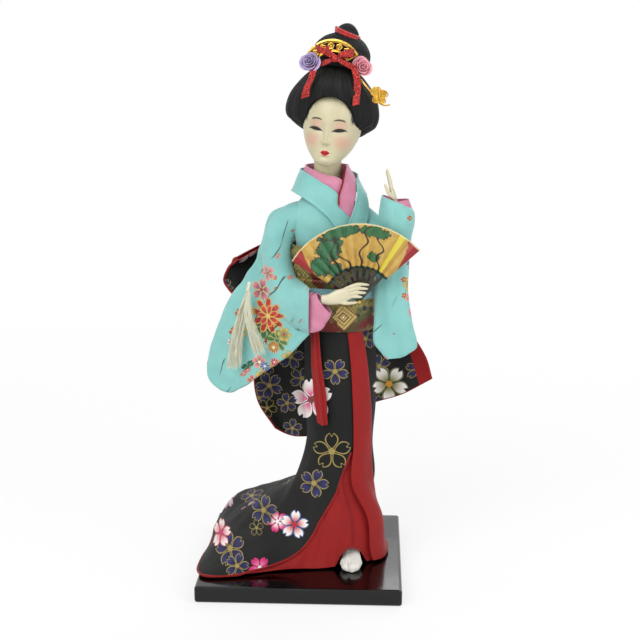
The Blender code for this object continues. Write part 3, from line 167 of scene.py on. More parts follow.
class Finish:
    """A material being made: shader sockets by name, and small node sums."""

    def __init__(self, name, colour, roughness, metallic=0.0, **settings):
        self.material = bpy.data.materials.new(name)
        self.material.use_nodes = True
        self.tree = self.material.node_tree
        self.shader = self.tree.nodes["Principled BSDF"]
        settings = {"Base Color": tint(colour), "Roughness": roughness, "Metallic": metallic, **settings}
        for socket, value in settings.items():
            self.shader.inputs[socket.replace("_", " ")].default_value = value
        places = self.tree.nodes.new("ShaderNodeTexCoord").outputs
        self.here, self.uv = places["Object"], places["UV"]

    def put(self, value, socket):
        """Join a socket to another, or set it to a plain value."""
        if isinstance(value, Share):
            value = value.socket
        if isinstance(value, bpy.types.NodeSocket):
            self.tree.links.new(value, socket)
        else:
            socket.default_value = value

    def node(self, kind, operation=None, **values):
        """A new node with its inputs set, or joined, by their names."""
        made = self.tree.nodes.new("ShaderNode" + kind)
        if operation:
            made.operation = operation
        for name, value in values.items():
            self.put(value, made.inputs[name.replace("_", " ")])
        return made

    def sum(self, kind, a, b=0.0, clamp=False):
        made = self.node("Math", kind)
        made.use_clamp = clamp
        self.put(a, made.inputs[0])
        self.put(b, made.inputs[1])
        return Share(self, made.outputs[0])

    def mix(self, share, a, b):
        made = self.node("Mix")
        made.data_type = "RGBA"
        self.put(share, made.inputs["Factor"])
        self.put(tint(a) if isinstance(a, tuple) else a, made.inputs[6])
        self.put(tint(b) if isinstance(b, tuple) else b, made.inputs[7])
        return made.outputs[2]

    def ramp(self, value, low, high, start=0.0, stop=1.0):
        """A smooth step from start to stop as the value goes from low to high."""
        made = self.node("MapRange", Value=value, From_Min=low, From_Max=high, To_Min=start, To_Max=stop)
        made.interpolation_type = "SMOOTHSTEP"
        return Share(self, made.outputs["Result"])

    def noise(self, place, scale, detail=3.0, rough=0.55, stretch=None):
        if stretch is not None:
            place = self.stretched(place, stretch)
        made = self.node("TexNoise", Vector=place, Scale=scale, Detail=detail, Roughness=rough)
        return Share(self, made.outputs["Fac"])

    def stretched(self, place, scale, shift=(0.0, 0.0, 0.0), turn=0.0):
        made = self.node("Mapping", Vector=place, Scale=scale, Location=shift, Rotation=(0.0, 0.0, turn))
        return made.outputs["Vector"]

    def apart(self, place, centre):
        """A place as seen from a centre."""
        made = self.node("VectorMath", "SUBTRACT")
        self.put(place, made.inputs[0])
        self.put(centre, made.inputs[1])
        return made.outputs[0]

    def parts(self, place):
        """The three numbers of a place."""
        return [Share(self, number) for number in self.node("SeparateXYZ", Vector=place).outputs]

    def waves(self, place, scale, twist=0.0, direction="X"):
        made = self.node("TexWave", Vector=place, Scale=scale, Distortion=twist)
        made.bands_direction = direction
        return Share(self, made.outputs["Fac"])

    def bump(self, height, depth):
        """Add a relief, depth in metres, over any relief already there."""
        made = self.node("Bump", Strength=1.0, Distance=depth, Height=height)
        normal = self.shader.inputs["Normal"]
        if normal.links:
            self.tree.links.new(normal.links[0].from_socket, made.inputs["Normal"])
        self.tree.links.new(made.outputs["Normal"], normal)

    def colour(self, value):
        self.put(value, self.shader.inputs["Base Color"])

    def polish(self, value):
        self.put(value, self.shader.inputs["Roughness"])

    def mottled(self, scale, detail, a, b, rough=0.55):
        """Colour the piece between two tones by a soft noise."""
        self.colour(self.mix(self.noise(self.here, scale, detail, rough), a, b))


def tint(colour):
    """A colour as it looks on screen, 0 to 255, as the shader's linear value."""
    return (*((value / 255.0) ** SRGB for value in colour[:3]), 1.0)


def dress(node, finish):
    """Give a node that keeps its own mesh a better material."""
    slots = bpy.data.objects[node].data.materials
    slots.clear()
    slots.append(finish.material)


lacquer = Finish("black_lacquer", (10, 10, 9), 0.16, Specular_IOR_Level=0.3, Coat_Weight=0.2, Coat_Roughness=0.06)
rubs = lacquer.noise(lacquer.here, 60.0, 6.0, 0.7)
lacquer.polish(lacquer.ramp(rubs, 0.35, 0.75, 0.12, 0.26))
lacquer.colour(lacquer.mix(lacquer.ramp(rubs, 0.4, 0.8), (8, 8, 7), (16, 16, 15)))
lacquer.bump(lacquer.noise(lacquer.here, 25.0, 2.0), 0.00004)
dress("base_board", lacquer)

# Black kimono skirt: printed silk in one panel, open in front, its left edge
# sweeping back to the train; red silk lines it and rolls out along the hem.
BASE_THICK = 9.0
BODY_LEVELS = ((62, 20.5, 13, 9.5), (95, 20.5, 17.5, 12.5), (133, 19.5, 17.2, 12), (154.5, 17.5, 17.2, 12),
               (176, 15, 18.3, 14.7), (190, 13.3, 20.5, 13.5), (198, 13, 15, 12.5), (206, 13, 8.8, 8.8))
SILK = 0.5


def spline(points, count, closed=False):
    """Catmull-Rom curve through the points, sampled evenly in its parameter."""
    pts = np.array(points, dtype=float)
    n = len(pts)
    spans = n if closed else n - 1
    t = np.arange(count) * spans / (count if closed else count - 1)
    k = np.minimum(t.astype(int), spans - 1)
    f = (t - k).reshape((-1,) + (1,) * (pts.ndim - 1))
    if closed:
        a, b, c, d = (pts[(k + j) % n] for j in (-1, 0, 1, 2))
    else:
        wide = np.concatenate([[2 * pts[0] - pts[1]], pts, [2 * pts[-1] - pts[-2]]])
        a, b, c, d = (wide[k + j] for j in range(4))
    return 0.5 * (2 * b + (c - a) * f + (2 * a - 5 * b + 4 * c - d) * f * f + (3 * b - a - 3 * c + d) * f ** 3)


def patch(control, rows, cols, closed=False):
    """A smooth surface through a coarse grid of points, in millimetres."""
    lines = np.array([spline(line, cols, closed) for line in control])
    return spline(lines, rows)


def normals(grid, closed=False):
    """Unit normals of a grid of points, rows down and columns across."""
    down = np.gradient(grid, axis=0)
    if closed:
        side = (np.roll(grid, -1, axis=1) - np.roll(grid, 1, axis=1)) * 0.5
    else:
        side = np.gradient(grid, axis=1)
    out = np.cross(down, side)
    size = np.linalg.norm(out, axis=2, keepdims=True)
    return out / np.maximum(size, 1e-9)


def pushed(grid, amount, closed=False):
    """The grid moved along its normals by an array of distances."""
    return grid + normals(grid, closed) * np.broadcast_to(amount, grid.shape[:2])[..., None]


def rough(grid, size, seed, stretch=(1.0, 1.0, 1.0)):
    """Smooth noise over the points of a grid, about -1 to 1."""
    scale = Vector(stretch) / size
    shift = Vector((seed * 7.31, seed * 3.17, seed * 5.77))
    flat = grid.reshape(-1, 3)
    return np.array([noise.noise(Vector(p) * scale + shift) for p in flat]).reshape(grid.shape[:2])


def finish_mesh(name, mesh, finishes, node=None):
    """Add the mesh as a piece of the look, with its finishes and the node that it replaces."""
    made = bpy.data.objects.new(name, mesh)
    for finish in finishes:
        mesh.materials.append(finish.material)
    mesh.shade_smooth()
    bpy.context.scene.collection.objects.link(made)
    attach(made, "root")
    if node:
        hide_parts(node)
    return made


def arc_lengths(grid, axis):
    """Running length along the middle line of a grid, in metres."""
    steps = np.linalg.norm(np.diff(grid, axis=axis), axis=2)
    mean = steps.mean(axis=1 - axis)
    return np.concatenate([[0.0], np.cumsum(mean)]) * MM


def grid_mesh(name, grid, closed=False, flip=False):
    """A mesh from a grid in millimetres, UV in metres along its middle lines."""
    rows, cols = grid.shape[:2]
    if closed:
        grid = np.concatenate([grid, grid[:, :1]], axis=1)
    us, vs = arc_lengths(grid, 1), arc_lengths(grid, 0)
    r, c = np.meshgrid(np.arange(rows - 1), np.arange(grid.shape[1] - 1), indexing="ij")
    corners = [(r, c), (r, c + 1), (r + 1, c + 1), (r + 1, c)]
    if flip:
        corners.reverse()
    faces = np.stack([(a * cols + b % cols) for a, b in corners], axis=-1).reshape(-1, 4)
    mesh = bpy.data.meshes.new(name)
    mesh.from_pydata((grid[:, :cols].reshape(-1, 3) * MM).tolist(), [], faces.tolist())
    layer = mesh.uv_layers.new(name="cloth")
    flat = np.stack([np.stack([us[b], vs[a]], axis=-1) for a, b in corners], axis=2).reshape(-1, 2)
    layer.data.foreach_set("uv", flat.ravel())
    return mesh


def cloth(name, grid, finishes, thickness, node=None, closed=False, flip=False):
    """Cloth with a real thickness: outer finish, then lining and rim if given."""
    made = finish_mesh(name, grid_mesh(name, grid, closed, flip), finishes, node)
    wall = made.modifiers.new("wall", "SOLIDIFY")
    wall.thickness = thickness * MM
    wall.offset = 1.0
    wall.use_even_offset = False
    wall.material_offset = len(finishes) - 1
    wall.material_offset_rim = len(finishes) - 1
    return made


def evaluated(name, data, **modifiers):
    """The mesh of a curve or mesh once its modifiers, each with its settings, have worked on it."""
    holder = bpy.data.objects.new(name, data)
    bpy.context.scene.collection.objects.link(holder)
    for kind, settings in modifiers.items():
        step = holder.modifiers.new(kind, kind)
        for setting, value in settings.items():
            setattr(step, setting, value)
    mesh = bpy.data.meshes.new_from_object(holder.evaluated_get(bpy.context.evaluated_depsgraph_get()))
    bpy.data.batch_remove([holder, data])
    return mesh


def tube_mesh(name, routes, radii, sides=8, closed=False):
    """Round cords along routes in millimetres; radii may change along them."""
    curve = bpy.data.curves.new(name, "CURVE")
    curve.dimensions = "3D"
    curve.bevel_depth = MM
    curve.bevel_resolution = max(0, sides // 2 - 2)
    curve.use_fill_caps = True
    for route, radius in zip(routes, radii):
        line = curve.splines.new("POLY")
        line.points.add(len(route) - 1)
        line.points.foreach_set("co", np.concatenate([np.array(route) * MM, np.ones((len(route), 1))], axis=1).ravel())
        line.points.foreach_set("radius", np.broadcast_to(radius, len(route)).astype(float))
        line.use_cyclic_u = closed
    return evaluated(name, curve)


def outward_faces(mesh, *others, fill=False):
    """Join other meshes to a mesh, close its open edges if asked, and turn its faces outward."""
    whole = bmesh.new()
    for part in (mesh, *others):
        whole.from_mesh(part)
    if fill:
        bmesh.ops.holes_fill(whole, edges=[e for e in whole.edges if e.is_boundary], sides=0)
    bmesh.ops.recalc_face_normals(whole, faces=whole.faces)
    whole.to_mesh(mesh)
    whole.free()


def tubes(name, routes, radii, finish, node=None, sides=8, closed=False):
    """Cords, piping or threads as one piece of the look."""
    mesh = tube_mesh(name, routes, radii, sides, closed)
    return finish_mesh(name, mesh, (finish,), node)


def turns_round(count):
    """Even turns round a section, in radians."""
    return 2 * np.pi * np.arange(count) / count


def across_share(grid):
    """How far across each column lies, 0 to 1."""
    return np.linspace(0, 1, grid.shape[1])[None, :]


def down_share(grid):
    """How far down each row lies, 0 to 1."""
    return np.linspace(0, 1, grid.shape[0])[:, None]


def body_at(height):
    """The padded body's centre, half width and half depth at a height above the stand."""
    levels = np.array(BODY_LEVELS, dtype=float)
    return [np.interp(height, levels[:, 0], levels[:, k]) for k in (1, 2, 3)]


def body_ring(height, out, count):
    """Points of the padded body's level section, from the front round by the left."""
    centre, wide, deep = body_at(height)
    turn = turns_round(count)
    return np.stack([centre - (wide + out) * np.sin(turn), -(deep + out) * np.cos(turn),
                     np.full(count, BASE_THICK + height)], axis=1)


def ellipse_stops(height, centre_x, half_x, half_y):
    """Eight places round a level oval, from the front round by the left."""
    return [(centre_x - half_x * math.sin(k * math.pi / 4), -half_y * math.cos(k * math.pi / 4), BASE_THICK + height)
            for k in range(8)]


def up(points):
    """Places whose height is given above the stand, as places in the frame."""
    return [(x, y, BASE_THICK + z) for x, y, z in points]


def skirt_form(rows, cols, gathers=9, depth=1.1):
    """The skirts' common form: waist to hem, with gathers that deepen downwards."""
    hem, out = BASE_THICK + 1.3, 1.3
    waist, hip = body_at(133.5), body_at(95)
    control = [ellipse_stops(133.5, waist[0], waist[1] + out, waist[2] + out),
               ellipse_stops(112, hip[0], hip[1] + out, hip[2] + out),
               ellipse_stops(88, hip[0], hip[1] + out + 0.4, hip[2] + out + 1),
               ellipse_stops(66, 20.7, 17.5, 15), ellipse_stops(45, 18, 21.5, 17.5),
               up(((21, -21.5, 26), (2, -23, 23), (-20, -20, 21), (-31, 8, 23.5),
                   (-28, 33, 24.5), (4, 28, 25), (33, 14, 24), (42, -8, 24))),
               up(((21, -25.5, 8), (-4, -29.5, 7), (-35, -33.5, 9), (-44, 4, 13.5),
                   (-40, 40, 16.5), (3, 36, 13.5), (37, 18, 8), (43.5, -10, 8))),
               [(21.5, -27.5, hem), (-8, -33, hem), (-52, -42.5, hem), (-53, 2, hem),
                (-48, 47, hem), (2, 41, hem), (40, 20, hem), (44.5, -11, hem)]]
    grid = patch(control, rows, cols, closed=True)
    fall = np.maximum(0.0, (np.arange(rows) / (rows - 1) - 0.35) / 0.65)[:, None]
    away = grid - grid.mean(axis=1, keepdims=True)
    away[:, :, 2] = 0.0
    away /= np.linalg.norm(away, axis=2, keepdims=True)
    wave = np.cos(2 * np.pi * gathers * np.arange(cols) / cols)[None, :]
    grid += away * (depth * fall * (1.0 - fall ** 6) * wave)[..., None]
    over = (grid[:, :, 0] - 27.5) / 8.45
    lifted = BASE_THICK + 11.1 * np.exp(-over ** 4)
    grid[:, :, 2] = np.where(grid[:, :, 1] < -10.75, np.maximum(grid[:, :, 2], lifted), grid[:, :, 2])
    return grid


def opened(grid, start, stop, cols):
    """A width of a closed grid, from one share of the way round to another."""
    rows, whole = grid.shape[:2]
    out = []
    for r in range(rows):
        share = r / (rows - 1)
        a = np.interp(share, [p[0] for p in start], [p[1] for p in start])
        b = np.interp(share, [p[0] for p in stop], [p[1] for p in stop])
        place = (np.linspace(a, b, cols) % 1.0) * whole
        k = place.astype(int) % whole
        f = (place - place.astype(int))[:, None]
        out.append(grid[r, k] * (1 - f) + grid[r, (k + 1) % whole] * f)
    return np.array(out)


FINE = 1.0
LEFT_EDGE = ((0.0, -0.050), (0.43, -0.066), (0.60, -0.010), (0.714, 0.075), (0.857, 0.130), (1.0, 0.190))
RIGHT_EDGE = ((0.0, 0.944), (0.43, 0.926), (0.70, 0.900), (1.0, 0.870))
skirt_grid = skirt_form(int(160 * FINE), int(360 * FINE))
rows_down = down_share(skirt_grid)
skirt_folds = (rough(skirt_grid, 26.0, 1, (1.6, 1.6, 0.5)) * 1.3 + rough(skirt_grid, 9.0, 2, (1.4, 1.4, 0.35)) * 0.45)
skirt_folds *= np.clip((rows_down - 0.12) * 2.2, 0.12, 1.0) * np.clip((1.0 - rows_down) * 12.0, 0.0, 1.0)
skirt_grid = pushed(skirt_grid, -skirt_folds - 0.25, closed=True)
skirt_grid[:, :, 2] = np.maximum(skirt_grid[:, :, 2], BASE_THICK + 0.9)


def blossom(finish, local, radius, petals=5, turn=0.0, notch=0.18, eye=0.14):
    """Masks of a flower about the origin of a local place: petals, outline, eye, reach."""
    x, y, _ = finish.parts(local)
    reach = (x * x + y * y).root() / radius
    angle = abs(((y.bearing(x) + turn) * (petals / (2 * math.pi))).part() - 0.5) * (2 * math.pi / petals)
    off, out = reach * angle.sine(), reach * angle.cosine()
    along = finish.sum("DIVIDE", out - 0.1, 0.9, clamp=True)
    swell = (along ** 1.25 * math.pi).sine() ** 0.65
    tip = finish.ramp(off, 0.0, 0.13, 1.0 - notch, 1.0) - out
    depth = (swell * (1.75 / petals) - off).smaller(tip)
    inside = finish.ramp(depth, 0.0, 0.03)
    outline = finish.ramp(depth, 0.055, 0.09, 1.0, 0.0) * inside
    return inside, outline, finish.ramp(reach, eye, eye + 0.05, 1.0, 0.0), reach


def weave(finish, pitch, depth, place=None):
    """Warp and weft as a fine relief, pitch and depth in metres."""
    warp, weft = (finish.waves(place or finish.uv, 1.0 / (math.pi * pitch), direction=way) for way in "XY")
    finish.bump(warp * weft, depth)


def flowered(finish, colour, size, seed, layers, loose=0.85):
    """Blossoms of a few sorts over the cloth, each cell of the print taking one sort or none."""
    moved = finish.stretched(finish.uv, (1.0, 1.0, 1.0), (seed * 0.173, seed * 0.291, 0.0))
    cells = finish.node("TexVoronoi", Vector=moved, Scale=1.0 / size, Randomness=loose)
    cells.voronoi_dimensions = "2D"
    local = finish.apart(moved, cells.outputs["Position"])
    chances = finish.node("SeparateColor", Color=cells.outputs["Color"]).outputs
    pick, spin = Share(finish, chances[0]), Share(finish, chances[1]) * 6.0
    for low, high, radius, petals, petal, line, heart in layers:
        inside, outline, eye, reach = blossom(finish, local, radius, petals, spin)
        this = (pick > low) * (pick < high)
        shaded = finish.mix(finish.ramp(reach, 0.1, 0.9), petal, tuple(0.72 * v for v in petal))
        for mask, ink in ((inside, shaded), (outline, line), (eye, heart)):
            colour = finish.mix(mask * this, colour, ink)
    return colour


def seen_front(finish, lean=(0.0, 0.0)):
    """Where a point falls in the front view, across and up, and how far back it lies, in metres."""
    x, back, z = finish.parts(finish.here)
    across, high = back * lean[0] + x, back * lean[1] + z
    return finish.node("CombineXYZ", X=across, Y=high).outputs[0], back


def bloom(finish, place, colour, centre, radius, petals, turn, petal, line, heart, notch=0.18, core=None):
    """One blossom printed at a place of the front view, in millimetres."""
    local = finish.apart(place, (centre[0] * MM, centre[1] * MM, 0.0))
    inside, outline, eye, reach = blossom(finish, local, radius * MM, petals, turn, notch)
    shaded = finish.mix(finish.ramp(reach, 0.15, 0.8), core or tuple(0.62 * v for v in petal), petal)
    for mask, ink in ((inside, shaded), (outline, line), (eye, heart)):
        colour = finish.mix(mask, colour, ink)
    return colour


NAVY, GOLD_LINE, BLACK_GROUND = (48, 48, 88), (150, 134, 78), (12, 12, 11)
PALE, MAGENTA = (232, 224, 220), (196, 48, 112)
NAVY_SORT, LINE_SORT = (NAVY, GOLD_LINE, GOLD_LINE, None), (BLACK_GROUND, GOLD_LINE, GOLD_LINE, None)
PRINT_LEAN = (0.052, 0.286)      # how far the fitted view moves a point, across and up, per metre behind
HEM_LINE = 0.0964                # where the right bow end's red edge starts, across the view in metres
black_silk = Finish("black_silk", BLACK_GROUND, 0.66, Specular_IOR_Level=0.3)
ground = black_silk.mix(black_silk.noise(black_silk.here, 40.0, 4.0), BLACK_GROUND, (19, 19, 18))
scattered = flowered(black_silk, ground, 0.0185, 3.0, (
    (0.0, 0.50, 0.0068, 5, NAVY, GOLD_LINE, GOLD_LINE),
    (0.50, 0.62, 0.0084, 5, (226, 214, 214), (196, 120, 150), (190, 90, 60)),
    (0.62, 0.74, 0.0070, 5, BLACK_GROUND, GOLD_LINE, GOLD_LINE)))
silk_place, silk_back = seen_front(black_silk, PRINT_LEAN)
black_print = black_silk.mix(black_silk.ramp(silk_back, 0.003, 0.006), ground, scattered)
for centre, radius, turn, (petal, line, heart, core) in (
        ((4.5, 96.9), 12.2, 0.20, (PALE, PALE, (120, 60, 60), (206, 70, 124))), ((17.3, 112.8), 7.8, 0.90, NAVY_SORT),
        ((15.7, 67.7), 11.0, 0.30, LINE_SORT), ((5.9, 49.3), 8.6, 0.70, NAVY_SORT),
        ((-7.2, 122.0), 8.0, 0.50, NAVY_SORT), ((-19.5, 105.0), 8.2, 1.10, NAVY_SORT),
        ((-9.4, 94.7), 6.4, 0.10, NAVY_SORT), ((-20.7, 91.6), 6.0, 0.80, LINE_SORT),
        ((-6.4, 79.8), 6.0, 0.40, NAVY_SORT), ((-14.3, 27.2), 6.2, 0.00, (MAGENTA, MAGENTA, PALE, PALE)),
        ((-22.3, 32.5), 8.2, 0.50, NAVY_SORT), ((-25.9, 23.1), 4.4, 0.20, LINE_SORT),
        ((-40.1, 11.8), 9.0, 0.00, NAVY_SORT), ((-35.7, 3.5), 6.8, 0.60, NAVY_SORT),
        ((-23.5, 2.4), 6.4, 0.90, (MAGENTA, MAGENTA, PALE, (226, 120, 160))),
        ((-46.8, 18.1), 7.0, 0.20, (PALE, (190, 60, 70), MAGENTA, (214, 110, 130))),
        ((-4.9, 25.7), 8.4, 0.45, (PALE, (40, 90, 150), (170, 40, 40), (190, 60, 50))),
        ((33.9, 131.3), 6.4, 0.20, NAVY_SORT),
        ((48.8, 106.7), 11.5, 0.95, (PALE, (96, 100, 50), (190, 130, 50), (120, 116, 60)))):
    black_print = bloom(black_silk, silk_place, black_print, centre, radius, 5, turn, petal, line, heart, core=core)
seen_across, seen_up, _ = black_silk.parts(silk_place)
in_hem = black_silk.ramp(seen_up * 0.289 + seen_across, HEM_LINE, HEM_LINE + 0.0004)
black_silk.colour(black_silk.mix(in_hem, black_print, (136, 8, 10)))
weave(black_silk, 0.00045, 0.00005)
black_silk.bump(black_silk.noise(black_silk.here, 900.0, 2.0, 0.6), 0.00006)

red_silk = Finish("red_silk", (140, 16, 18), 0.6, Specular_IOR_Level=0.3, Sheen_Weight=0.08)
red_silk.mottled(55.0, 4.0, (122, 4, 6), (150, 12, 12))
weave(red_silk, 0.0004, 0.00005)
red_silk.bump(red_silk.noise(red_silk.here, 500.0, 3.0), 0.00008)

skirt_cloth = opened(skirt_grid, LEFT_EDGE, RIGHT_EDGE, int(300 * FINE))
kimono_skirt = cloth("kimono_skirt_look", skirt_cloth, (black_silk, red_silk), SILK, "kimono_skirt")

# Rolled hem of the skirt: a padded red silk edge, sewn along the train's foot
# and up the left front edge, where the black panel folds away.
hem_line = np.concatenate([skirt_cloth[int(0.45 * skirt_cloth.shape[0])::3, 0], skirt_cloth[-1, ::3],
                           skirt_cloth[:int(0.62 * skirt_cloth.shape[0]):-3, -1]])
hem_line[:, 2] = np.maximum(hem_line[:, 2], BASE_THICK + 0.75)
hem_radius = 0.72 + 0.08 * np.sin(np.arange(len(hem_line)) * 0.9)
skirt_hem = tubes("skirt_hem_roll", [hem_line], [hem_radius], red_silk, sides=10)

# Red underskirt: a plain silk tube inside the kimono skirt, seen in front and
# at the hem, with soft vertical folds and one long crease.
under_grid = skirt_form(int(150 * FINE), int(300 * FINE))
under_grid = pushed(under_grid, 1.15, closed=True)
turn_share = np.arange(under_grid.shape[1])[None, :] / under_grid.shape[1]
under_down = down_share(under_grid)
crease = 0.9 * np.exp(-((turn_share - 0.972) / 0.010) ** 2) - 0.5 * np.exp(-((turn_share - 0.95) / 0.012) ** 2)
ripples = np.sin(turn_share * 2 * np.pi * 31) * 0.16 + rough(under_grid, 14.0, 4, (1.5, 1.5, 0.3)) * 0.45
under_grid = pushed(under_grid, -(crease + ripples) * np.clip(under_down * 3.0 - 1.0, 0.0, 0.9), closed=True)
under_grid[:, :, 2] = np.maximum(under_grid[:, :, 2], BASE_THICK + 0.5)
underskirt = cloth("underskirt_look", under_grid, (red_silk,), 0.4, "underskirt", closed=True)

# Turned-out red edge of the right front panel: a band of the silk lining,
# doubled over, pressed flat and sewn down the skirt's opening.
lapel_base = pushed(skirt_form(int(150 * FINE), int(300 * FINE)), -1.35, closed=True)
lapel_grid = opened(lapel_base, ((0.0, 0.894), (0.25, 0.850), (0.43, 0.812), (0.70, 0.800), (1.0, 0.800)),
                    ((0.0, 0.958), (0.43, 0.932), (0.70, 0.925), (1.0, 0.920)), int(60 * FINE))
lapel_across = 2 * across_share(lapel_grid) - 1
lapel_grid = pushed(lapel_grid, -(0.35 * (1.0 - lapel_across ** 6) + rough(lapel_grid, 16.0, 5, (1, 1, 0.4)) * 0.35))
skirt_lapel = cloth("skirt_lapel_look", lapel_grid, (red_silk,), 0.45, "skirt_lapel")

# Kimono body: plain light blue-green crepe drawn round the chest, under a
# folded collar band of the same cloth and a pink silk under collar.
CYAN, CYAN_DEEP = (140, 200, 194), (104, 168, 164)
crepe = Finish("cyan_crepe", CYAN, 0.75, Sheen_Weight=0.35, Sheen_Roughness=0.5)
crepe.mottled(60.0, 4.0, CYAN_DEEP, CYAN)


def crinkle(finish, depth=0.00010):
    """The pebbled face of crepe over its weave."""
    weave(finish, 0.00042, depth * 0.5)
    finish.bump(finish.noise(finish.here, 1400.0, 2.0, 0.7), depth)
    finish.bump(finish.noise(finish.here, 320.0, 3.0), depth * 1.6)


crinkle(crepe)
pink_silk = Finish("pink_silk", (214, 140, 168), 0.55, Sheen_Weight=0.3, Sheen_Roughness=0.4)
pink_silk.mottled(70.0, 4.0, (182, 104, 134), (208, 138, 162))
weave(pink_silk, 0.0004, 0.00006)
pink_silk.bump(pink_silk.noise(pink_silk.here, 600.0, 3.0), 0.0001)

bodice_heights = np.concatenate([np.linspace(134.1, 198, int(70 * FINE)), np.linspace(199, 205.8, int(14 * FINE))])
bodice_grid = np.array([body_ring(h, 0.5, int(200 * FINE)) for h in bodice_heights])
bodice_folds = rough(bodice_grid, 9.0, 6, (1.0, 1.0, 0.5)) * 0.35
bodice_grid = pushed(bodice_grid, bodice_folds, closed=True)
kimono_bodice = cloth("kimono_bodice_look", bodice_grid, (crepe,), 0.5, "kimono_bodice", closed=True)


def band(edges, count, seed):
    """A folded collar band round the nape, with its outward side: rolled edges, soft creases."""
    control = []
    for top, foot in edges:
        high, low = (np.array(up((place,))[0]) for place in (top, foot))
        control.append([high, (high + low) * 0.5 + (0, -0.4, 0.2), low])
    grid = patch(control, int(220 * FINE), count)
    across = across_share(grid)
    creases = rough(grid, 7.0, seed, (0.5, 0.5, 1.4)) * 0.3 + BAND_ROLL * np.exp(-(across / 0.10) ** 2)
    creases += BAND_ROLL * 0.6 * np.exp(-((across - 1.0) / 0.08) ** 2)
    side = 1.0 if np.sum(normals(grid)[:, :, 1] * grid[:, :, 1]) > 0 else -1.0
    return pushed(grid, side * creases), side


BAND_ROLL, BAND_THICK, BAND_COLUMNS = 0.45, 0.7, 26
UNDER_EDGES = (
    ((25, -12.4, 197), (20, -13.2, 193)), ((21.5, -12.4, 210.5), (16, -13.2, 203)),
    ((12, -10.5, 213.5), (6.5, -11.6, 207.5)), ((4.0, -5.5, 216.5), (-0.5, -6, 209.5)),
    ((2.5, 3, 217.5), (-2, 5, 209)), ((13, 9.6, 218), (13, 11.8, 209)),
    ((23.5, 4, 217.5), (28, 5, 209)), ((23.0, -5, 217), (28.5, -6.5, 209.5)),
    ((22.2, -13.0, 210), (28.6, -11.5, 203)), ((19.8, -14.6, 203.5), (27.5, -13.0, 196)),
    ((20, -14.8, 197), (27, -13.6, 190)))
COLLAR_EDGES = (
    ((29, -12.6, 184), (21.5, -15.4, 178)), ((25.0, -13.6, 193), (16.5, -15.0, 188.5)),
    ((19.0, -14.2, 204.0), (9.0, -14.6, 196.0)), ((10, -12.6, 210), (1.5, -12.4, 201)),
    ((2.0, -7, 214.5), (-3.8, -7.5, 203.5)), ((-0.4, 4, 215.5), (-4.8, 5, 203.5)),
    ((13, 12.4, 216), (13, 14.6, 203)), ((27.8, 6, 213), (32.0, 6.5, 202)),
    ((29.0, -7.5, 209.5), (34.4, -5.5, 201.5)), ((29.3, -13.4, 202.5), (35.4, -8.5, 195)),
    ((27.2, -15.6, 194), (34.2, -11.8, 187)), ((23.5, -17.3, 185), (30.4, -15.2, 177.8)))
for name, edges, finish, slot, node, seed, flat in (
        ("under_collar_look", UNDER_EDGES, pink_silk, "pink_silk", "under_collar", 7, None),
        ("kimono_collar_look", COLLAR_EDGES, crepe, "cyan_crepe", "kimono_collar", 8, (0.0125, 0.125))):
    grid, side = band(edges, BAND_COLUMNS, seed)
    made = cloth(name, grid, (finish,), BAND_THICK, node, flip=side < 0)

# Dark red piping: a thin silk cord sewn along the neck edge of the pink under
# collar, from the nape down to where the collars cross.
piping_line = spline(up([(23.2, -6.4, 217.2), (22.5, -11.6, 213.0), (21.6, -14.6, 208.5), (20.0, -15.4, 203.5),
                         (19.8, -15.5, 198.0)]), 60)
tubes("collar_piping", [piping_line], [0.5], red_silk)

# Long sleeves: crepe printed with a red bloom and small flowers, each a bag of
# two layers that hangs from the arm, with soft creases fanning from the elbow.
printed = Finish("printed_crepe", CYAN, 0.72, Sheen_Weight=0.35, Sheen_Roughness=0.5)
front_place = seen_front(printed)[0]
RED_INK, GREEN_INK, GOLD_INK = (176, 30, 34), (52, 108, 70), (206, 170, 82)
PINK_INK, BLUE_INK, WHITE_INK, LEAF_LINE = (226, 128, 142), (52, 82, 140), (232, 226, 216), (110, 140, 70)
small = flowered(printed, printed.mix(printed.noise(printed.here, 60.0, 4.0), CYAN_DEEP, CYAN), 0.0125, 11.0, (
    (0.0, 0.16, 0.0024, 5, PINK_INK, GOLD_INK, RED_INK), (0.16, 0.26, 0.0018, 5, RED_INK, GOLD_INK, GOLD_INK),
    (0.26, 0.36, 0.0026, 4, GREEN_INK, (36, 60, 48), (36, 60, 48))), loose=1.0)
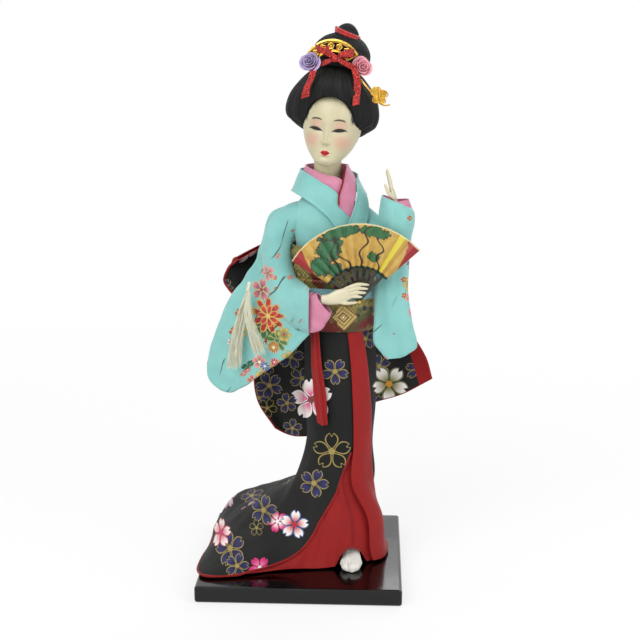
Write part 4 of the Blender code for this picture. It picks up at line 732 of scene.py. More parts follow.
for centre, radius, petals, turn, petal, line, heart, notch in (
        ((-20, 141), 7.4, 7, 0.3, GREEN_INK, (150, 150, 60), GREEN_INK, 0.1),
        ((-13, 134), 6.6, 8, 1.3, (60, 112, 62), (150, 150, 60), GREEN_INK, 0.1),
        ((-18, 147), 10.5, 9, 0.2, RED_INK, GOLD_INK, (222, 160, 70), 0.1),
        ((-18, 147), 6.4, 7, 0.9, (196, 52, 48), GOLD_INK, (226, 178, 92), 0.1),
        ((-20, 113), 6.0, 6, 0.7, GOLD_INK, (150, 160, 90), PINK_INK, 0.2),
        ((-13, 119), 5.6, 7, 0.2, GOLD_INK, LEAF_LINE, (206, 110, 120), 0.2),
        ((-6, 125), 5.2, 6, 0.9, GOLD_INK, LEAF_LINE, PINK_INK, 0.2),
        ((-23, 121), 4.4, 5, 0.3, PINK_INK, GOLD_INK, WHITE_INK, 0.2),
        ((-9, 138), 4.6, 6, 0.5, GOLD_INK, LEAF_LINE, RED_INK, 0.2),
        ((-34, 137), 4.6, 6, 0.1, GOLD_INK, (90, 130, 60), (206, 110, 120), 0.2),
        ((-29, 148), 4.0, 5, 0.6, GOLD_INK, LEAF_LINE, RED_INK, 0.2),
        ((-22, 160), 6.0, 5, 0.5, (190, 110, 130), GOLD_INK, (160, 50, 70), 0.2),
        ((-18, 170), 4.6, 5, 1.1, (206, 130, 146), GOLD_INK, (150, 60, 70), 0.2),
        ((58, 165), 4.6, 6, 0.5, GOLD_INK, LEAF_LINE, PINK_INK, 0.2),
        ((59, 176), 3.8, 5, 0.2, BLUE_INK, GOLD_INK, WHITE_INK, 0.2),
        ((-25, 131), 3.6, 12, 0.0, RED_INK, GOLD_INK, WHITE_INK, 0.0),
        ((-15, 130), 3.6, 12, 0.0, RED_INK, GOLD_INK, WHITE_INK, 0.0),
        ((-14.5, 122), 2.6, 8, 0.4, (190, 40, 60), PINK_INK, WHITE_INK, 0.1),
        ((-20, 119), 3.1, 8, 0.9, BLUE_INK, (150, 176, 206), WHITE_INK, 0.1),
        ((-39, 130), 3.0, 6, 0.2, WHITE_INK, (60, 60, 56), GOLD_INK, 0.35),
        ((-8, 118), 3.4, 5, 1.1, GOLD_INK, (150, 60, 50), RED_INK, 0.32),
        ((-27, 110), 3.6, 5, 0.1, (206, 92, 110), GOLD_INK, GOLD_INK, 0.3),
        ((-1, 128), 3.0, 5, 0.6, PINK_INK, GOLD_INK, RED_INK, 0.3),
        ((60, 150), 3.4, 5, 0.3, PINK_INK, RED_INK, GOLD_INK, 0.3),
        ((58, 158), 3.2, 5, 0.8, PINK_INK, GOLD_INK, GREEN_INK, 0.2)):
    small = bloom(printed, front_place, small, centre, radius, petals, turn, petal, line, heart, notch)
curl = printed.waves(printed.stretched(front_place, (60.0, 36.0, 1.0), turn=0.7), 0.55, 7.0)
stems = printed.ramp(curl, 0.985, 0.998) * printed.ramp(printed.noise(printed.here, 42.0, 1.0), 0.52, 0.6)
printed.colour(printed.mix(stems * 0.85, small, (34, 44, 40)))
crinkle(printed)


def sleeve_grid(sections, rows, cols, lean):
    """Loops round a sleeve: each from the outer fold over the front to the arm and back.

    A section is (outer place, inner place, arm half height, arm half depth).
    """
    outer = spline([s[0] for s in sections], rows)
    inner = spline([s[1] for s in sections], rows)
    tall = spline([[s[2]] for s in sections], rows)[:, 0]
    deep = spline([[s[3]] for s in sections], rows)[:, 0]
    grid = np.zeros((rows, cols, 3))
    for r in range(rows):
        chord = inner[r] - outer[r]
        length = np.linalg.norm(chord)
        run = chord / length
        front = np.array(lean, dtype=float) - run * np.dot(lean, run)
        front /= np.linalg.norm(front)
        turn = 2 * np.pi * (np.arange(cols) + 0.5) / cols
        share = 0.5 - 0.5 * np.cos(turn)
        reach = share * length
        arm = np.clip((reach - (length - 2 * tall[r])) / (2 * tall[r]), 0.0, 1.0)
        bulge = deep[r] * 2.0 * np.sqrt(arm * (1.0 - arm))
        edge = 1.1 * np.sqrt(np.clip(reach / 2.0, 0.0, 1.0)) * np.sqrt(np.clip((length - reach) / 2.0, 0.0, 1.0))
        swell = (bulge ** 3 + edge ** 3) ** (1.0 / 3.0)
        grid[r] = outer[r] + run * reach[:, None] + front * (np.sign(np.sin(turn)) * swell)[:, None]
    return grid


RIGHT_SECTIONS = [(up((o,))[0], up((i,))[0], t, d) for o, i, t, d in (
    ((0, 0, 198.5), (1, -1, 182), 8.2, 8.0), ((-9, 0, 196), (-3, -1, 180.5), 8.4, 8.0),
    ((-18, -1, 190), (-5, -3, 177.5), 8.2, 7.8), ((-22.3, -1.5, 175), (-6.2, -5.5, 172.5), 8.0, 7.6),
    ((-26.5, 1.5, 164), (-6.6, -9.5, 165.5), 8.0, 7.4), ((-35.3, 2.5, 151), (-4.0, -13.5, 159), 8.6, 7.2),
    ((-44.3, 3.0, 135.5), (-1.5, -16.5, 157.3), 9.4, 6.8), ((-51.5, 2.6, 116), (0.6, -18.8, 156.6), 10.0, 6.6),
    ((-52.8, 2.0, 100), (2.0, -20.6, 156.2), 10.6, 6.3), ((-41, -1.5, 92.2), (3.0, -22, 155.8), 11.0, 6.1),
    ((-25.3, -9, 102.5), (3.8, -23.3, 155.4), 11.3, 5.9), ((-10, -16.5, 115), (4.4, -24.2, 155.1), 11.6, 5.7),
    ((4.6, -23.8, 130.5), (4.9, -24.8, 154.9), 11.6, 5.6))]
right_grid = sleeve_grid(RIGHT_SECTIONS, int(185 * FINE), int(260 * FINE), (0.0, -1.0, 0.0))
elbow = np.array((-6.0, -15.0, BASE_THICK + 156))
from_elbow = right_grid - elbow
fan_angle = np.arctan2(from_elbow[:, :, 2], from_elbow[:, :, 0])
far = np.clip((np.linalg.norm(from_elbow[:, :, ::2], axis=2) - 6.0) / 30.0, 0.0, 1.0)
fans = np.sin(fan_angle * 11.0 + rough(right_grid, 18.0, 9) * 2.2) * 0.45 * far
fans += rough(right_grid, 13.0, 10, (1.0, 1.0, 0.7)) * 0.9 + rough(right_grid, 5.0, 11) * 0.28
rows_right = down_share(right_grid)
right_grid = pushed(right_grid, fans * np.clip((1.0 - rows_right) * 14.0, 0.15, 1.0), closed=True)
sleeve_right = cloth("sleeve_right_look", right_grid, (printed, pink_silk), 0.35, "sleeve_right",
                     closed=True, flip=True)

LEFT_RINGS = (
    # height, left x, right x, centre y, half depth, rise of the right edge
    (203.5, 42.6, 55.5, -16.5, 6.6, -5.0), (199, 41.4, 59.4, -16.5, 7.2, -4.5), (190, 41.0, 59.6, -15.6, 7.2, -2.5),
    (178, 40.8, 57.2, -13.6, 7.0, -1.0), (165, 40.2, 56.6, -12.0, 5.6, 0.0), (150, 39.7, 57.0, -12.4, 3.6, 0.0),
    (136, 39.2, 58.8, -13.2, 2.4, 0.0), (124, 39.6, 61.6, -13.2, 1.8, 1.0), (117.5, 44.0, 60.6, -13.4, 1.2, 2.5),
    (115.3, 46.5, 52.5, -13.4, 0.7, 0.4))
left_rings = spline(LEFT_RINGS, int(200 * FINE))
turn = turns_round(int(180 * FINE))
left_grid = np.zeros((len(left_rings), len(turn), 3))
for r, (high, left, right, middle, deep, rise) in enumerate(left_rings):
    across = -np.sin(turn)
    left_grid[r, :, 0] = 0.5 * (left + right) + 0.5 * (right - left) * across
    left_grid[r, :, 1] = middle - deep * np.cos(turn)
    left_grid[r, :, 2] = BASE_THICK + high + rise * (across + 1.0) * 0.5
left_folds = rough(left_grid, 11.0, 12, (1.2, 1.0, 0.5)) * 0.8 + rough(left_grid, 4.5, 13, (1.2, 1.0, 0.4)) * 0.3
left_folds += np.sin(left_grid[:, :, 0] * 0.75 + 1.0) * 0.22
left_down = down_share(left_grid)
left_grid = pushed(left_grid, left_folds * np.clip(left_down * 8.0, 0.1, 1.0), closed=True)
sleeve_left = cloth("sleeve_left_look", left_grid, (printed, pink_silk), 0.35, "sleeve_left",
                    closed=True)
UPPER_ARM = ((21, 0, 190), (30, -1, 188.5), (39, -4, 181), (46, -9, 172), (48.5, -11, 166))
upper_route = spline(up(UPPER_ARM), int(60 * FINE))
upper_grid = np.zeros((len(upper_route), int(90 * FINE), 3))
upper_turn = turns_round(int(90 * FINE))
for r, place in enumerate(upper_route):
    ahead = upper_route[min(r + 1, len(upper_route) - 1)] - upper_route[max(r - 1, 0)]
    ahead /= np.linalg.norm(ahead)
    top = np.cross((0.0, 1.0, 0.0), ahead)
    top /= np.linalg.norm(top)
    side = np.cross(ahead, top)
    upper_grid[r] = place + top * (8.2 * np.cos(upper_turn))[:, None] + side * (7.8 * np.sin(upper_turn))[:, None]
upper_grid = pushed(upper_grid, rough(upper_grid, 7.0, 14) * 0.5, closed=True)
upper_sleeve = cloth("upper_sleeve_left", upper_grid, (printed, pink_silk), 0.35, closed=True)

# Pink inner sleeves at the wrists: thin silk tubes with a turned edge, tacked
# inside each sleeve's mouth so that a cuff of pink shows.
def limb_grid(places, talls, wides, upward, rows, cols):
    """Oval sections along a route, carried without twisting."""
    route = spline(up(places), rows)
    tall = spline([[t] for t in talls], rows)[:, 0]
    wide = spline([[w] for w in wides], rows)[:, 0]
    turn = turns_round(cols)
    top = np.array(upward, dtype=float)
    grid = np.zeros((rows, cols, 3))
    for r in range(rows):
        ahead = route[min(r + 1, rows - 1)] - route[max(r - 1, 0)]
        ahead /= np.linalg.norm(ahead)
        top = top - ahead * top.dot(ahead)
        top /= np.linalg.norm(top)
        side = np.cross(ahead, top)
        grid[r] = route[r] + top * (tall[r] * np.cos(turn))[:, None] + side * (wide[r] * np.sin(turn))[:, None]
    return grid


for name, node, places, talls, wides, upward, flat in (
        ("sleeve_lining_right_look", "sleeve_lining_right",
         ((-3, -19.2, 146.4), (4.4, -23.4, 142.6), (8.6, -25.4, 144.4), (12.6, -26.6, 147.8)),
         (8.0, 10.8, 8.8, 6.0), (2.6, 3.0, 3.0, 3.0), (0, 0, 1), (0.040, 0.022)),
        ("sleeve_lining_left_look", "sleeve_lining_left",
         ((50.4, -15.6, 183), (51.2, -16.6, 190), (51.0, -17, 196), (50.6, -17, 201)),
         (5.2, 6.4, 6.6, 5.4), (5.0, 5.6, 5.6, 5.0), (1, 0, 0), (0.034, 0.020))):
    grid = limb_grid(places, talls, wides, upward, int(80 * FINE), int(120 * FINE))
    grid = pushed(grid, rough(grid, 4.0, 15) * 0.35, closed=True)
    made = cloth(name, grid, (pink_silk,), 0.4, node, closed=True)

# Obi: stiff padded brocade wound round the waist, woven with nested lozenges
# over gold, dark red and green, its wraps showing as three faint steps.
brocade = Finish("gold_brocade", (190, 160, 70), 0.42, 0.35, Sheen_Weight=0.2, Sheen_Roughness=0.4)
BROCADE_GOLD, BROCADE_RED, BROCADE_GREEN, BROCADE_NAVY = (176, 158, 94), (104, 22, 24), (66, 78, 40), (30, 34, 58)
OBI_CELL, OBI_TALL = 0.0250, 0.0230      # one lozenge of the weave, across and down, in metres
OBI_ACROSS, OBI_DOWN = 0.7035, 0.1266    # puts one lozenge under the fan hand, as shares of a cell
GOLD_THREADS = 320.0


def from_middle(value, period, shift):
    """Distance from the nearest cell middle, as a share of the cell."""
    return abs((value / period + shift).part() - 0.5) * 2.0


weave_across, weave_down, _ = brocade.parts(brocade.uv)
lozenge = (from_middle(weave_across, OBI_CELL, OBI_ACROSS) + from_middle(weave_down, OBI_TALL, OBI_DOWN)) * 1.55
patches = brocade.noise(brocade.uv, 62.0, 2.0)
woven = brocade.mix(brocade.ramp(patches, 0.40, 0.56), BROCADE_RED, BROCADE_GREEN)
woven = brocade.mix(brocade.ramp(brocade.noise(brocade.uv, 90.0, 2.0), 0.46, 0.58), woven, (138, 124, 66))
woven = brocade.mix(brocade.ramp(patches, 0.60, 0.64), woven, BROCADE_NAVY)
for limit, ink in ((1.0, (120, 40, 34)), (0.93, BROCADE_GOLD), (0.66, BROCADE_RED), (0.60, BROCADE_GOLD),
                   (0.40, (128, 92, 46)), (0.34, BROCADE_RED), (0.28, BROCADE_GOLD), (0.13, BROCADE_RED),
                   (0.09, (226, 222, 206))):
    woven = brocade.mix(brocade.ramp(lozenge, limit - 0.015, limit + 0.015, 1.0, 0.0), woven, ink)
gold_thread = brocade.waves(brocade.uv, GOLD_THREADS, 0.4, "DIAGONAL")
# Painted sheen: the colour is brightened on the crests of the diagonal gold threads and darkened between them.
thread_sheen = brocade.node("VectorMath", "SCALE", Scale=brocade.ramp(gold_thread, 0.35, 0.65, 0.72, 1.08))
brocade.put(woven, thread_sheen.inputs[0])
brocade.colour(thread_sheen.outputs[0])
brocade.bump(gold_thread, 0.00012)
brocade.bump(brocade.ramp(lozenge, 0.0, 1.2), 0.0004)
brocade.bump(brocade.noise(brocade.here, 420.0, 3.0), 0.00012)

obi_heights = np.linspace(130, 176, int(90 * FINE))
obi_grid = np.array([body_ring(h, 2.5, int(240 * FINE)) for h in obi_heights])
obi_down = down_share(obi_grid)
obi_turn = np.arange(obi_grid.shape[1])[None, :] / obi_grid.shape[1]
wraps = 0.8 * np.sqrt(np.clip(np.mod(obi_down * 3.0 + 0.16 * np.sin(obi_turn * 6.28 + 1.0), 1.0), 0.0, 1.0))
obi_push = 1.5 + wraps + rough(obi_grid, 9.0, 16) * 0.35
obi_push *= np.clip(np.sin(np.pi * np.clip(obi_down, 0.0, 1.0)) * 6.0, 0.35, 1.0) ** 0.6
obi = cloth("obi_look", pushed(obi_grid, obi_push, closed=True), (brocade,), 0.8, "obi", closed=True,
            flip=True)

# Obi cord: a flat band of braided sky-blue silk, drawn tight over the middle
# of the brocade and tied behind.
cord_silk = Finish("sky_blue_cord", (168, 200, 224), 0.6, Sheen_Weight=0.2)
plait = cord_silk.waves(cord_silk.stretched(cord_silk.uv, (1.0, 1.6, 1.0), turn=0.6), 230.0, 1.5)
cord_silk.colour(cord_silk.mix(plait, (84, 134, 142), (132, 178, 182)))
cord_silk.bump(plait, 0.00035)
cord_grid = np.array([body_ring(150.6 + 5.6 * k, 5.6 + 0.75 * math.cos(math.pi * k) ** 0.5, int(240 * FINE))
                      for k in np.linspace(-0.499, 0.499, 14)])
cloth("obi_cord_look", cord_grid, (cord_silk,), 0.5, "obi_cord", closed=True, flip=True)

# Great bow at the back: black printed silk lined in red, two pleated wings
# from a wrapped knot and two wide hanging ends, all with red-rolled edges.
def pleated(control, rows, cols, pleats, depth, seed):
    """A panel of cloth with pleats that run along its columns' direction."""
    grid = patch([up(line) for line in control], rows, cols)
    across = down_share(grid)
    wave = np.sin(across * np.pi * 2 * pleats + rough(grid, 20.0, seed) * 1.6)
    return pushed(grid, wave * depth + rough(grid, 8.0, seed + 1) * depth * 0.6)


BOW_WINGS = (
    ("bow_loop_left", (((9, 22, 169), (-8, 24, 174), (-24, 26, 170), (-38, 25.5, 163)),
                       ((9, 25, 164), (-8, 29, 168), (-24, 31.5, 165), (-42.5, 30, 158)),
                       ((8, 26, 160), (-9, 30.5, 160), (-26, 33, 156), (-45.5, 31, 151)),
                       ((9, 25, 156), (-8, 29, 152), (-24, 31.5, 146), (-43, 30, 146)),
                       ((9, 22, 152), (-8, 24, 147), (-23, 26, 140), (-39.5, 25.5, 143.5))), (0.052, 0.034)),
    ("bow_loop_right", (((22, 22, 169), (33, 24, 173), (43, 25, 168), (50, 24, 163)),
                        ((22, 25, 164), (33, 28, 167), (43, 29, 163), (51.5, 28, 158)),
                        ((23, 26, 160), (34, 30, 160), (44, 30, 156), (52.5, 29, 152)),
                        ((22, 25, 156), (33, 28, 152), (43, 28, 148), (51, 27, 147)),
                        ((22, 22, 152), (33, 24, 147), (42, 25, 142), (49, 24, 144))), (0.028, 0.032)))
for node, control, flat in BOW_WINGS:
    wing = pleated(control, int(120 * FINE), int(110 * FINE), 3.0, 0.9, 17)
    made = cloth(node + "_look", wing, (black_silk, red_silk), 0.6, node, flip=wing[0, 0, 0] < 15)
    inner = patch([up([(x, y - 1.6 - 0.12 * abs(x - 15), z) for x, y, z in line]) for line in control],
                  int(90 * FINE), int(90 * FINE))
    inner = pushed(inner, rough(inner, 9.0, 19) * 0.7)
    back = cloth(node + "_front_layer", inner, (black_silk, red_silk), 0.6, flip=wing[0, 0, 0] > 15)
    rim = tubes(node + "_rolled_edge", [wing[:, -1], inner[:, -1]], [0.85, 0.75], red_silk)

knot_grid = limb_grid(((15.5, 21.5, 148), (15.5, 23.4, 151), (15.5, 23.8, 160), (15.5, 23.4, 169), (15.5, 21.5, 172)),
                      (3.6, 5.4, 5.0, 5.4, 3.6), (7.4, 8.2, 7.2, 8.2, 7.4), (0, 1, 0), int(70 * FINE), int(100 * FINE))
knot_turn = turns_round(knot_grid.shape[1])
knot_grid = pushed(knot_grid, np.sin(knot_turn * 9)[None, :] * 0.3 + rough(knot_grid, 5.0, 21) * 0.3, closed=True)
bow_knot = cloth("bow_knot_look", knot_grid, (black_silk, black_silk), 0.6, "bow_knot", closed=True)

TAILS = (
    ("bow_tail_left", (((0, 21, 152), (5, 22, 152), (11, 21.5, 151)), ((-22, 21, 128), (-7, 24, 127), (8, 20.5, 126)),
                       ((-28.5, 20, 103), (-12, 23, 101), (5, 19.5, 100)),
                       ((-27, 19.5, 82), (-13, 22.5, 79), (4, 18.5, 79)),
                       ((-17, 19, 65.5), (-8, 20.5, 61), (3.5, 17.5, 61.5))), (0.029, 0.092)),
    ("bow_tail_right", (((20, 21.5, 151), (27, 22, 152), (34, 21, 150)), ((30, 21, 128), (43, 24, 127), (56, 21, 125)),
                        ((36, 20, 105), (51, 23.5, 107), (67, 21, 109)),
                        ((39.5, 19, 82), (54, 20.5, 86), (71.5, 20, 95.5))), (0.027, 0.068)))
for node, control, flat in TAILS:
    tail = patch([up(line) for line in control], int(150 * FINE), int(90 * FINE))
    across, tail_down = across_share(tail), down_share(tail)
    tail = pushed(tail, np.sin(across * 9.4 + tail_down * 2.0) * (0.9 - 0.5 * tail_down) + rough(tail, 12.0, 22) * 0.8)
    made = cloth(node + "_look", tail, (black_silk, red_silk), 0.7, node, flip=True)
    edge_line = np.concatenate([tail[:, 0], tail[-1, 1:], tail[::-1, -1]])[::2]
    rim = tubes(node + "_rolled_edge", [edge_line], [0.65], red_silk)

# Red sash end: a doubled ribbon of red silk, creased along its middle, that
# drops from under the obi.
sash = patch([up(line) for line in (
    ((4.4, -13.4, 131), (6.8, -15.2, 131), (9.2, -16.0, 131)),
    ((5.2, -14.0, 114), (7.9, -16.2, 113.5), (10.6, -17.4, 113)),
    ((6.2, -14.6, 98), (9.6, -16.8, 97), (13.0, -18.2, 96.5)),
    ((8.6, -16.0, 79.5), (11.4, -17.4, 78.4), (14.2, -18.4, 79)))],
    int(120 * FINE), int(40 * FINE))
sash_across = across_share(sash)
sash_fold = 0.5 * np.exp(-((sash_across - 0.56) / 0.10) ** 2) - 0.5 * np.exp(-((sash_across - 0.72) / 0.06) ** 2)
cloth("sash_ribbon_look", pushed(sash, sash_fold + rough(sash, 8.0, 23) * 0.35), (red_silk,), 0.8,
      "sash_ribbon")

# White silk tassel on the sleeve: a hundred and more loose threads in two
# tufts, bound at the top, each thread with its own small wander.
threads = Finish("white_thread", (238, 234, 224), 0.6, Sheen_Weight=0.3)
threads.mottled(300.0, 2.0, (190, 190, 164), (222, 220, 198))
maker = np.random.default_rng(5)
strands, strand_radii = [], []
for route, spread, count in ((((-27.6, -10.5, 155.5), (-28.6, -12.6, 151), (-31.5, -14.2, 140), (-35, -14.6, 124),
                               (-36.6, -14.4, 111.4)), (0.5, 0.8, 2.2, 3.2, 4.0), 95),
                             (((-27.6, -10.5, 155.5), (-28.2, -13.6, 150), (-28.2, -17.4, 141), (-25.6, -20.0, 131),
                               (-21.6, -21.6, 120.6)), (0.5, 0.8, 2.0, 2.8, 3.4), 60)):
    spine = np.array(up(route))
    for _ in range(count):
        turn, reach = maker.uniform(0, 2 * np.pi), math.sqrt(maker.uniform(0.02, 1.0))
        aim = np.array((math.cos(turn) * reach, -abs(math.sin(turn)) * reach * 0.35, 0.2 * math.sin(turn) * reach))
        wander = maker.normal(0.0, 0.22, (5, 3)) * np.array((0.2, 0.6, 1.0, 1.2, 1.4))[:, None]
        line = spine + aim * np.array(spread)[:, None] + wander
        line[4, 2] += maker.uniform(-2.6, 1.6)
        strands.append(spline(line, 16))
        strand_radii.append(0.13)
strands.append(np.array(up(((-27.9, -10.9, 155.8), (-28.3, -12.0, 153.6), (-28.8, -13.4, 151.4)))))
strand_radii.append(1.15)
tubes("tassel_look", strands, strand_radii, threads, "tassel", sides=4)

# Head and neck: one moulded form, painted pale, with blushed lids and cheeks,
# thin brows, narrow dark eyes and a small red mouth.
HEAD_PLACE = (Matrix.Translation(Vector(up(((14.8, -3.0, 239.5),))[0])) @ Matrix.Rotation(math.radians(-8.0), 4, "Z")
              @ Matrix.Rotation(math.radians(5.4), 4, "Y"))
HEAD_TURNED = np.array(HEAD_PLACE.to_3x3())
HEAD_SHIFT = np.array(HEAD_PLACE.translation)
FACE_X = 1.5


def on_head(points):
    """Places in the head's own frame as places in the doll's frame, millimetres."""
    return np.asarray(points, dtype=float) @ HEAD_TURNED.T + HEAD_SHIFT


def keep_local(mesh, local):
    """Each point's place in the head's own frame, in millimetres, for the paint."""
    store = mesh.attributes.new("local", "FLOAT_VECTOR", "POINT")
    store.data.foreach_set("vector", np.asarray(local, dtype=np.float32).reshape(-1))


HEAD_LEVELS = (
    # height, half width, centre y, half depth
    (-21.0, 1.2, -10.6, 1.6), (-20.4, 4.2, -10.2, 4.2), (-18.6, 6.9, -8.6, 7.4), (-16.0, 9.3, -6.5, 9.9),
    (-13.0, 11.5, -4.4, 12.1), (-9.0, 13.5, -2.4, 14.1), (-5.0, 14.8, -1.0, 15.4), (-1.0, 15.3, -0.3, 16.0),
    (4.0, 15.4, 0.0, 16.3), (9.0, 14.8, 0.3, 15.9), (14.0, 12.6, 0.5, 13.6), (18.0, 8.6, 0.5, 9.2),
    (20.4, 2.6, 0.5, 2.8))
head_rows, head_cols = int(240 * FINE), int(320 * FINE)
levels = spline(HEAD_LEVELS, head_rows)
turn = turns_round(head_cols)
local = np.zeros((head_rows, head_cols, 3))
power = 2.15
reach = (np.abs(np.sin(turn)) ** power + np.abs(np.cos(turn)) ** power) ** (-1.0 / power)
local[:, :, 0] = FACE_X - levels[:, 1:2] * (reach * np.sin(turn))[None, :]
local[:, :, 1] = levels[:, 2:3] - levels[:, 3:4] * (reach * np.cos(turn))[None, :]
local[:, :, 2] = levels[:, 0:1]


def swell(x, z, at_x, at_z, wide, tall, height):
    """A soft rise of the face about a place."""
    return height * np.exp(-((x - at_x) / wide) ** 2 - ((z - at_z) / tall) ** 2)


fx, fz = local[:, :, 0] - FACE_X, local[:, :, 2]
front_part = np.clip(np.cos(turn), 0.0, 1.0)[None, :] ** 0.6
relief = swell(fx, fz, 0.0, -8.3, 1.5, 1.5, 2.0) + swell(fx, fz, 0.0, -5.0, 1.15, 3.6, 1.25)
relief += swell(np.abs(fx), fz, 1.45, -8.9, 0.8, 0.9, 0.75) + swell(fx, fz, 0.0, 1.0, 1.7, 3.0, 0.35)
relief += swell(np.abs(fx), fz, 6.1, -1.0, 3.6, 1.5, 0.35) - swell(np.abs(fx), fz, 5.9, -3.3, 3.4, 1.1, 0.35)
relief -= swell(np.abs(fx), fz, 3.0, -1.6, 1.3, 2.2, 0.55)
relief += swell(np.abs(fx), fz, 8.0, -9.5, 4.2, 3.8, 0.55)
relief += swell(fx, fz, 0.0, -13.45, 2.2, 0.62, 0.75) + swell(fx, fz, 0.0, -15.0, 1.8, 0.75, 0.95)
relief -= swell(fx, fz, 0.0, -14.15, 2.8, 0.24, 0.55) + swell(fx, fz, 0.0, -16.5, 2.4, 0.7, 0.35)
relief -= swell(fx, fz, 0.0, -11.6, 0.6, 1.2, 0.25)
relief += swell(fx, fz, 0.0, -18.6, 2.6, 1.6, 0.55)
local[:, :, 1] -= relief * front_part
head_mesh = grid_mesh("head_look", on_head(local), closed=True)
keep_local(head_mesh, local)

skin = Finish("painted_skin", (188, 180, 148), 0.42, Subsurface_Weight=0.12, Subsurface_Scale=0.0016,
              Subsurface_Radius=(1.0, 0.45, 0.25), Coat_Weight=0.12, Coat_Roughness=0.3)
attribute = skin.tree.nodes.new("ShaderNodeAttribute")
attribute.attribute_name = "local"
head_place = attribute.outputs["Vector"]
px, py, pz = skin.parts(head_place)
px = px - FACE_X
ax = abs(px)


def spot(at_x, at_z, wide, tall):
    """A soft round patch on both sides of the face: 0 in its middle, 1 at its edge."""
    dx, dz = (ax - at_x) / wide, (pz - at_z) / tall
    return (dx * dx + dz * dz).root()


def painted(under, mask, ink):
    """Lay an ink on the front of the face where the mask says."""
    return skin.mix(mask * front_only, under, ink)


front_only = skin.ramp(py, -9.0, -5.0, 1.0, 0.0)
paint = skin.mix(skin.noise(skin.here, 90.0, 3.0), (182, 174, 140), (196, 188, 158))
for blush, ink, strength in (
        ((6.6, 0.8, 5.6, 3.4), (190, 118, 108), 0.42), ((8.0, -8.0, 6.2, 5.6), (196, 124, 114), 0.50),
        ((6.2, -1.2, 4.2, 1.5), (168, 84, 80), 0.25)):
    paint = painted(paint, skin.ramp(spot(*blush), 0.15, 1.05, strength, 0.0), ink)

brow_line = pz - 3.25 + (ax - 5.9) ** 2.0 * 0.075
brow = skin.ramp(abs(brow_line) / skin.ramp(ax, 2.8, 5.5, 0.34, 0.62), 0.4, 1.1, 1.0, 0.0)
brow = brow * (skin.ramp(ax, 2.7, 3.6) * skin.ramp(ax, 8.2, 9.2, 1.0, 0.0))
hairs = skin.noise(skin.stretched(head_place, (3.0, 1.0, 0.8), turn=0.5), 1.4, 2.0)
paint = painted(paint, brow * skin.ramp(hairs, 0.3, 0.6, 0.8, 1.0), (40, 34, 28))

EYE_X, EYE_Z, EYE_HALF, EYE_OPEN = 6.2, -2.45, 3.3, 1.05
tilted = pz - (ax - EYE_X) * 0.10
eye_across = (ax - EYE_X) / EYE_HALF
arch = 1.0 - eye_across * eye_across
under_top = arch * EYE_OPEN + EYE_Z - tilted
over_low = tilted - (EYE_Z - arch * (EYE_OPEN * 0.5))
paint = painted(paint, skin.ramp(under_top, 0.0, 0.12) * skin.ramp(over_low, 0.0, 0.12), (16, 13, 11))
eye_across = abs(eye_across)
for off, inner, outer, strength, ends, ink in (
        (abs(under_top + 0.06), 0.26, 0.42, 1.0, (1.02, 1.22), (20, 15, 13)),
        (abs(over_low), 0.05, 0.20, 0.6, (0.85, 1.0), (70, 42, 36)),
        (abs(under_top + 1.0), 0.03, 0.16, 0.3, (0.8, 1.0), (150, 84, 74))):
    paint = painted(paint, skin.ramp(off, inner, outer, strength, 0.0) * skin.ramp(eye_across, *ends, 1.0, 0.0), ink)

lip_top = skin.ramp(ax, 0.0, 0.75) * 0.34 - 12.85 - ax * ax * 0.215
lip_low = ax * ax * 0.27 - 15.55
paint = painted(paint, skin.ramp(lip_top - pz, 0.0, 0.14) * skin.ramp(pz - lip_low, 0.0, 0.14), (178, 22, 30))
mouth_line = skin.ramp(abs(pz + (14.15 - ax * ax * 0.03)), 0.05, 0.2, 0.9, 0.0)
paint = painted(paint, mouth_line * skin.ramp(ax, 1.9, 2.6, 1.0, 0.0), (84, 8, 14))
paint = painted(paint, skin.ramp(spot(0.85, -9.85, 0.42, 0.2), 0.5, 1.1, 0.7, 0.0), (122, 84, 66))

hairline = ((px / 12.2) ** 2.0 + ((pz - 2.0) / 13.2) ** 2.0).root()
stroke = skin.noise(skin.stretched(head_place, (1.9, 0.2, 0.35)), 1.6, 2.0)
root = skin.ramp(hairline + stroke * 0.16, 0.98, 1.06) * skin.ramp(pz, 0.5, 3.0)
skin.colour(skin.mix(root, paint, (30, 27, 26)))
skin.bump(skin.noise(skin.here, 700.0, 2.0), 0.00002)
finish_mesh("head_look", head_mesh, (skin,), "head")

neck_places = ((13, -1.0, 199.5), (13, -1.0, 206), (13.1, -1.3, 212), (13.5, -1.9, 219), (14.2, -2.2, 227))
neck_grid = limb_grid(neck_places, (7.9, 7.5, 7.2, 7.3, 7.6), (7.9, 7.4, 7.1, 7.2, 7.6), (0, -1, 0),
                      int(60 * FINE), int(120 * FINE))
neck_skin = Finish("neck_skin", (184, 176, 142), 0.45, Subsurface_Weight=0.12, Subsurface_Scale=0.0016)
neck_skin.mottled(90.0, 3.0, (178, 169, 134), (192, 184, 152))
finish_mesh("neck_look", grid_mesh("neck_look", neck_grid, closed=True), (neck_skin,))

# Hair: black silk combed over a form into a crown and two wings, a bun and a
# topknot above, every mass grooved by its strands and set matt.
hair = Finish("black_hair", (14, 16, 14), 0.7, Specular_IOR_Level=0.3)
strand_place = hair.stretched(hair.uv, (1.0, 0.045, 1.0))
strand = hair.noise(strand_place, 2600.0, 3.0, 0.6)
lock = hair.noise(strand_place, 520.0, 2.0)
hair.colour(hair.mix(hair.ramp(strand, 0.35, 0.7), (7, 8, 7), (24, 26, 24)))
hair.polish(hair.ramp(lock, 0.3, 0.7, 0.58, 0.8))
hair.bump(lock, 0.00045)
hair.bump(strand, 0.00022)

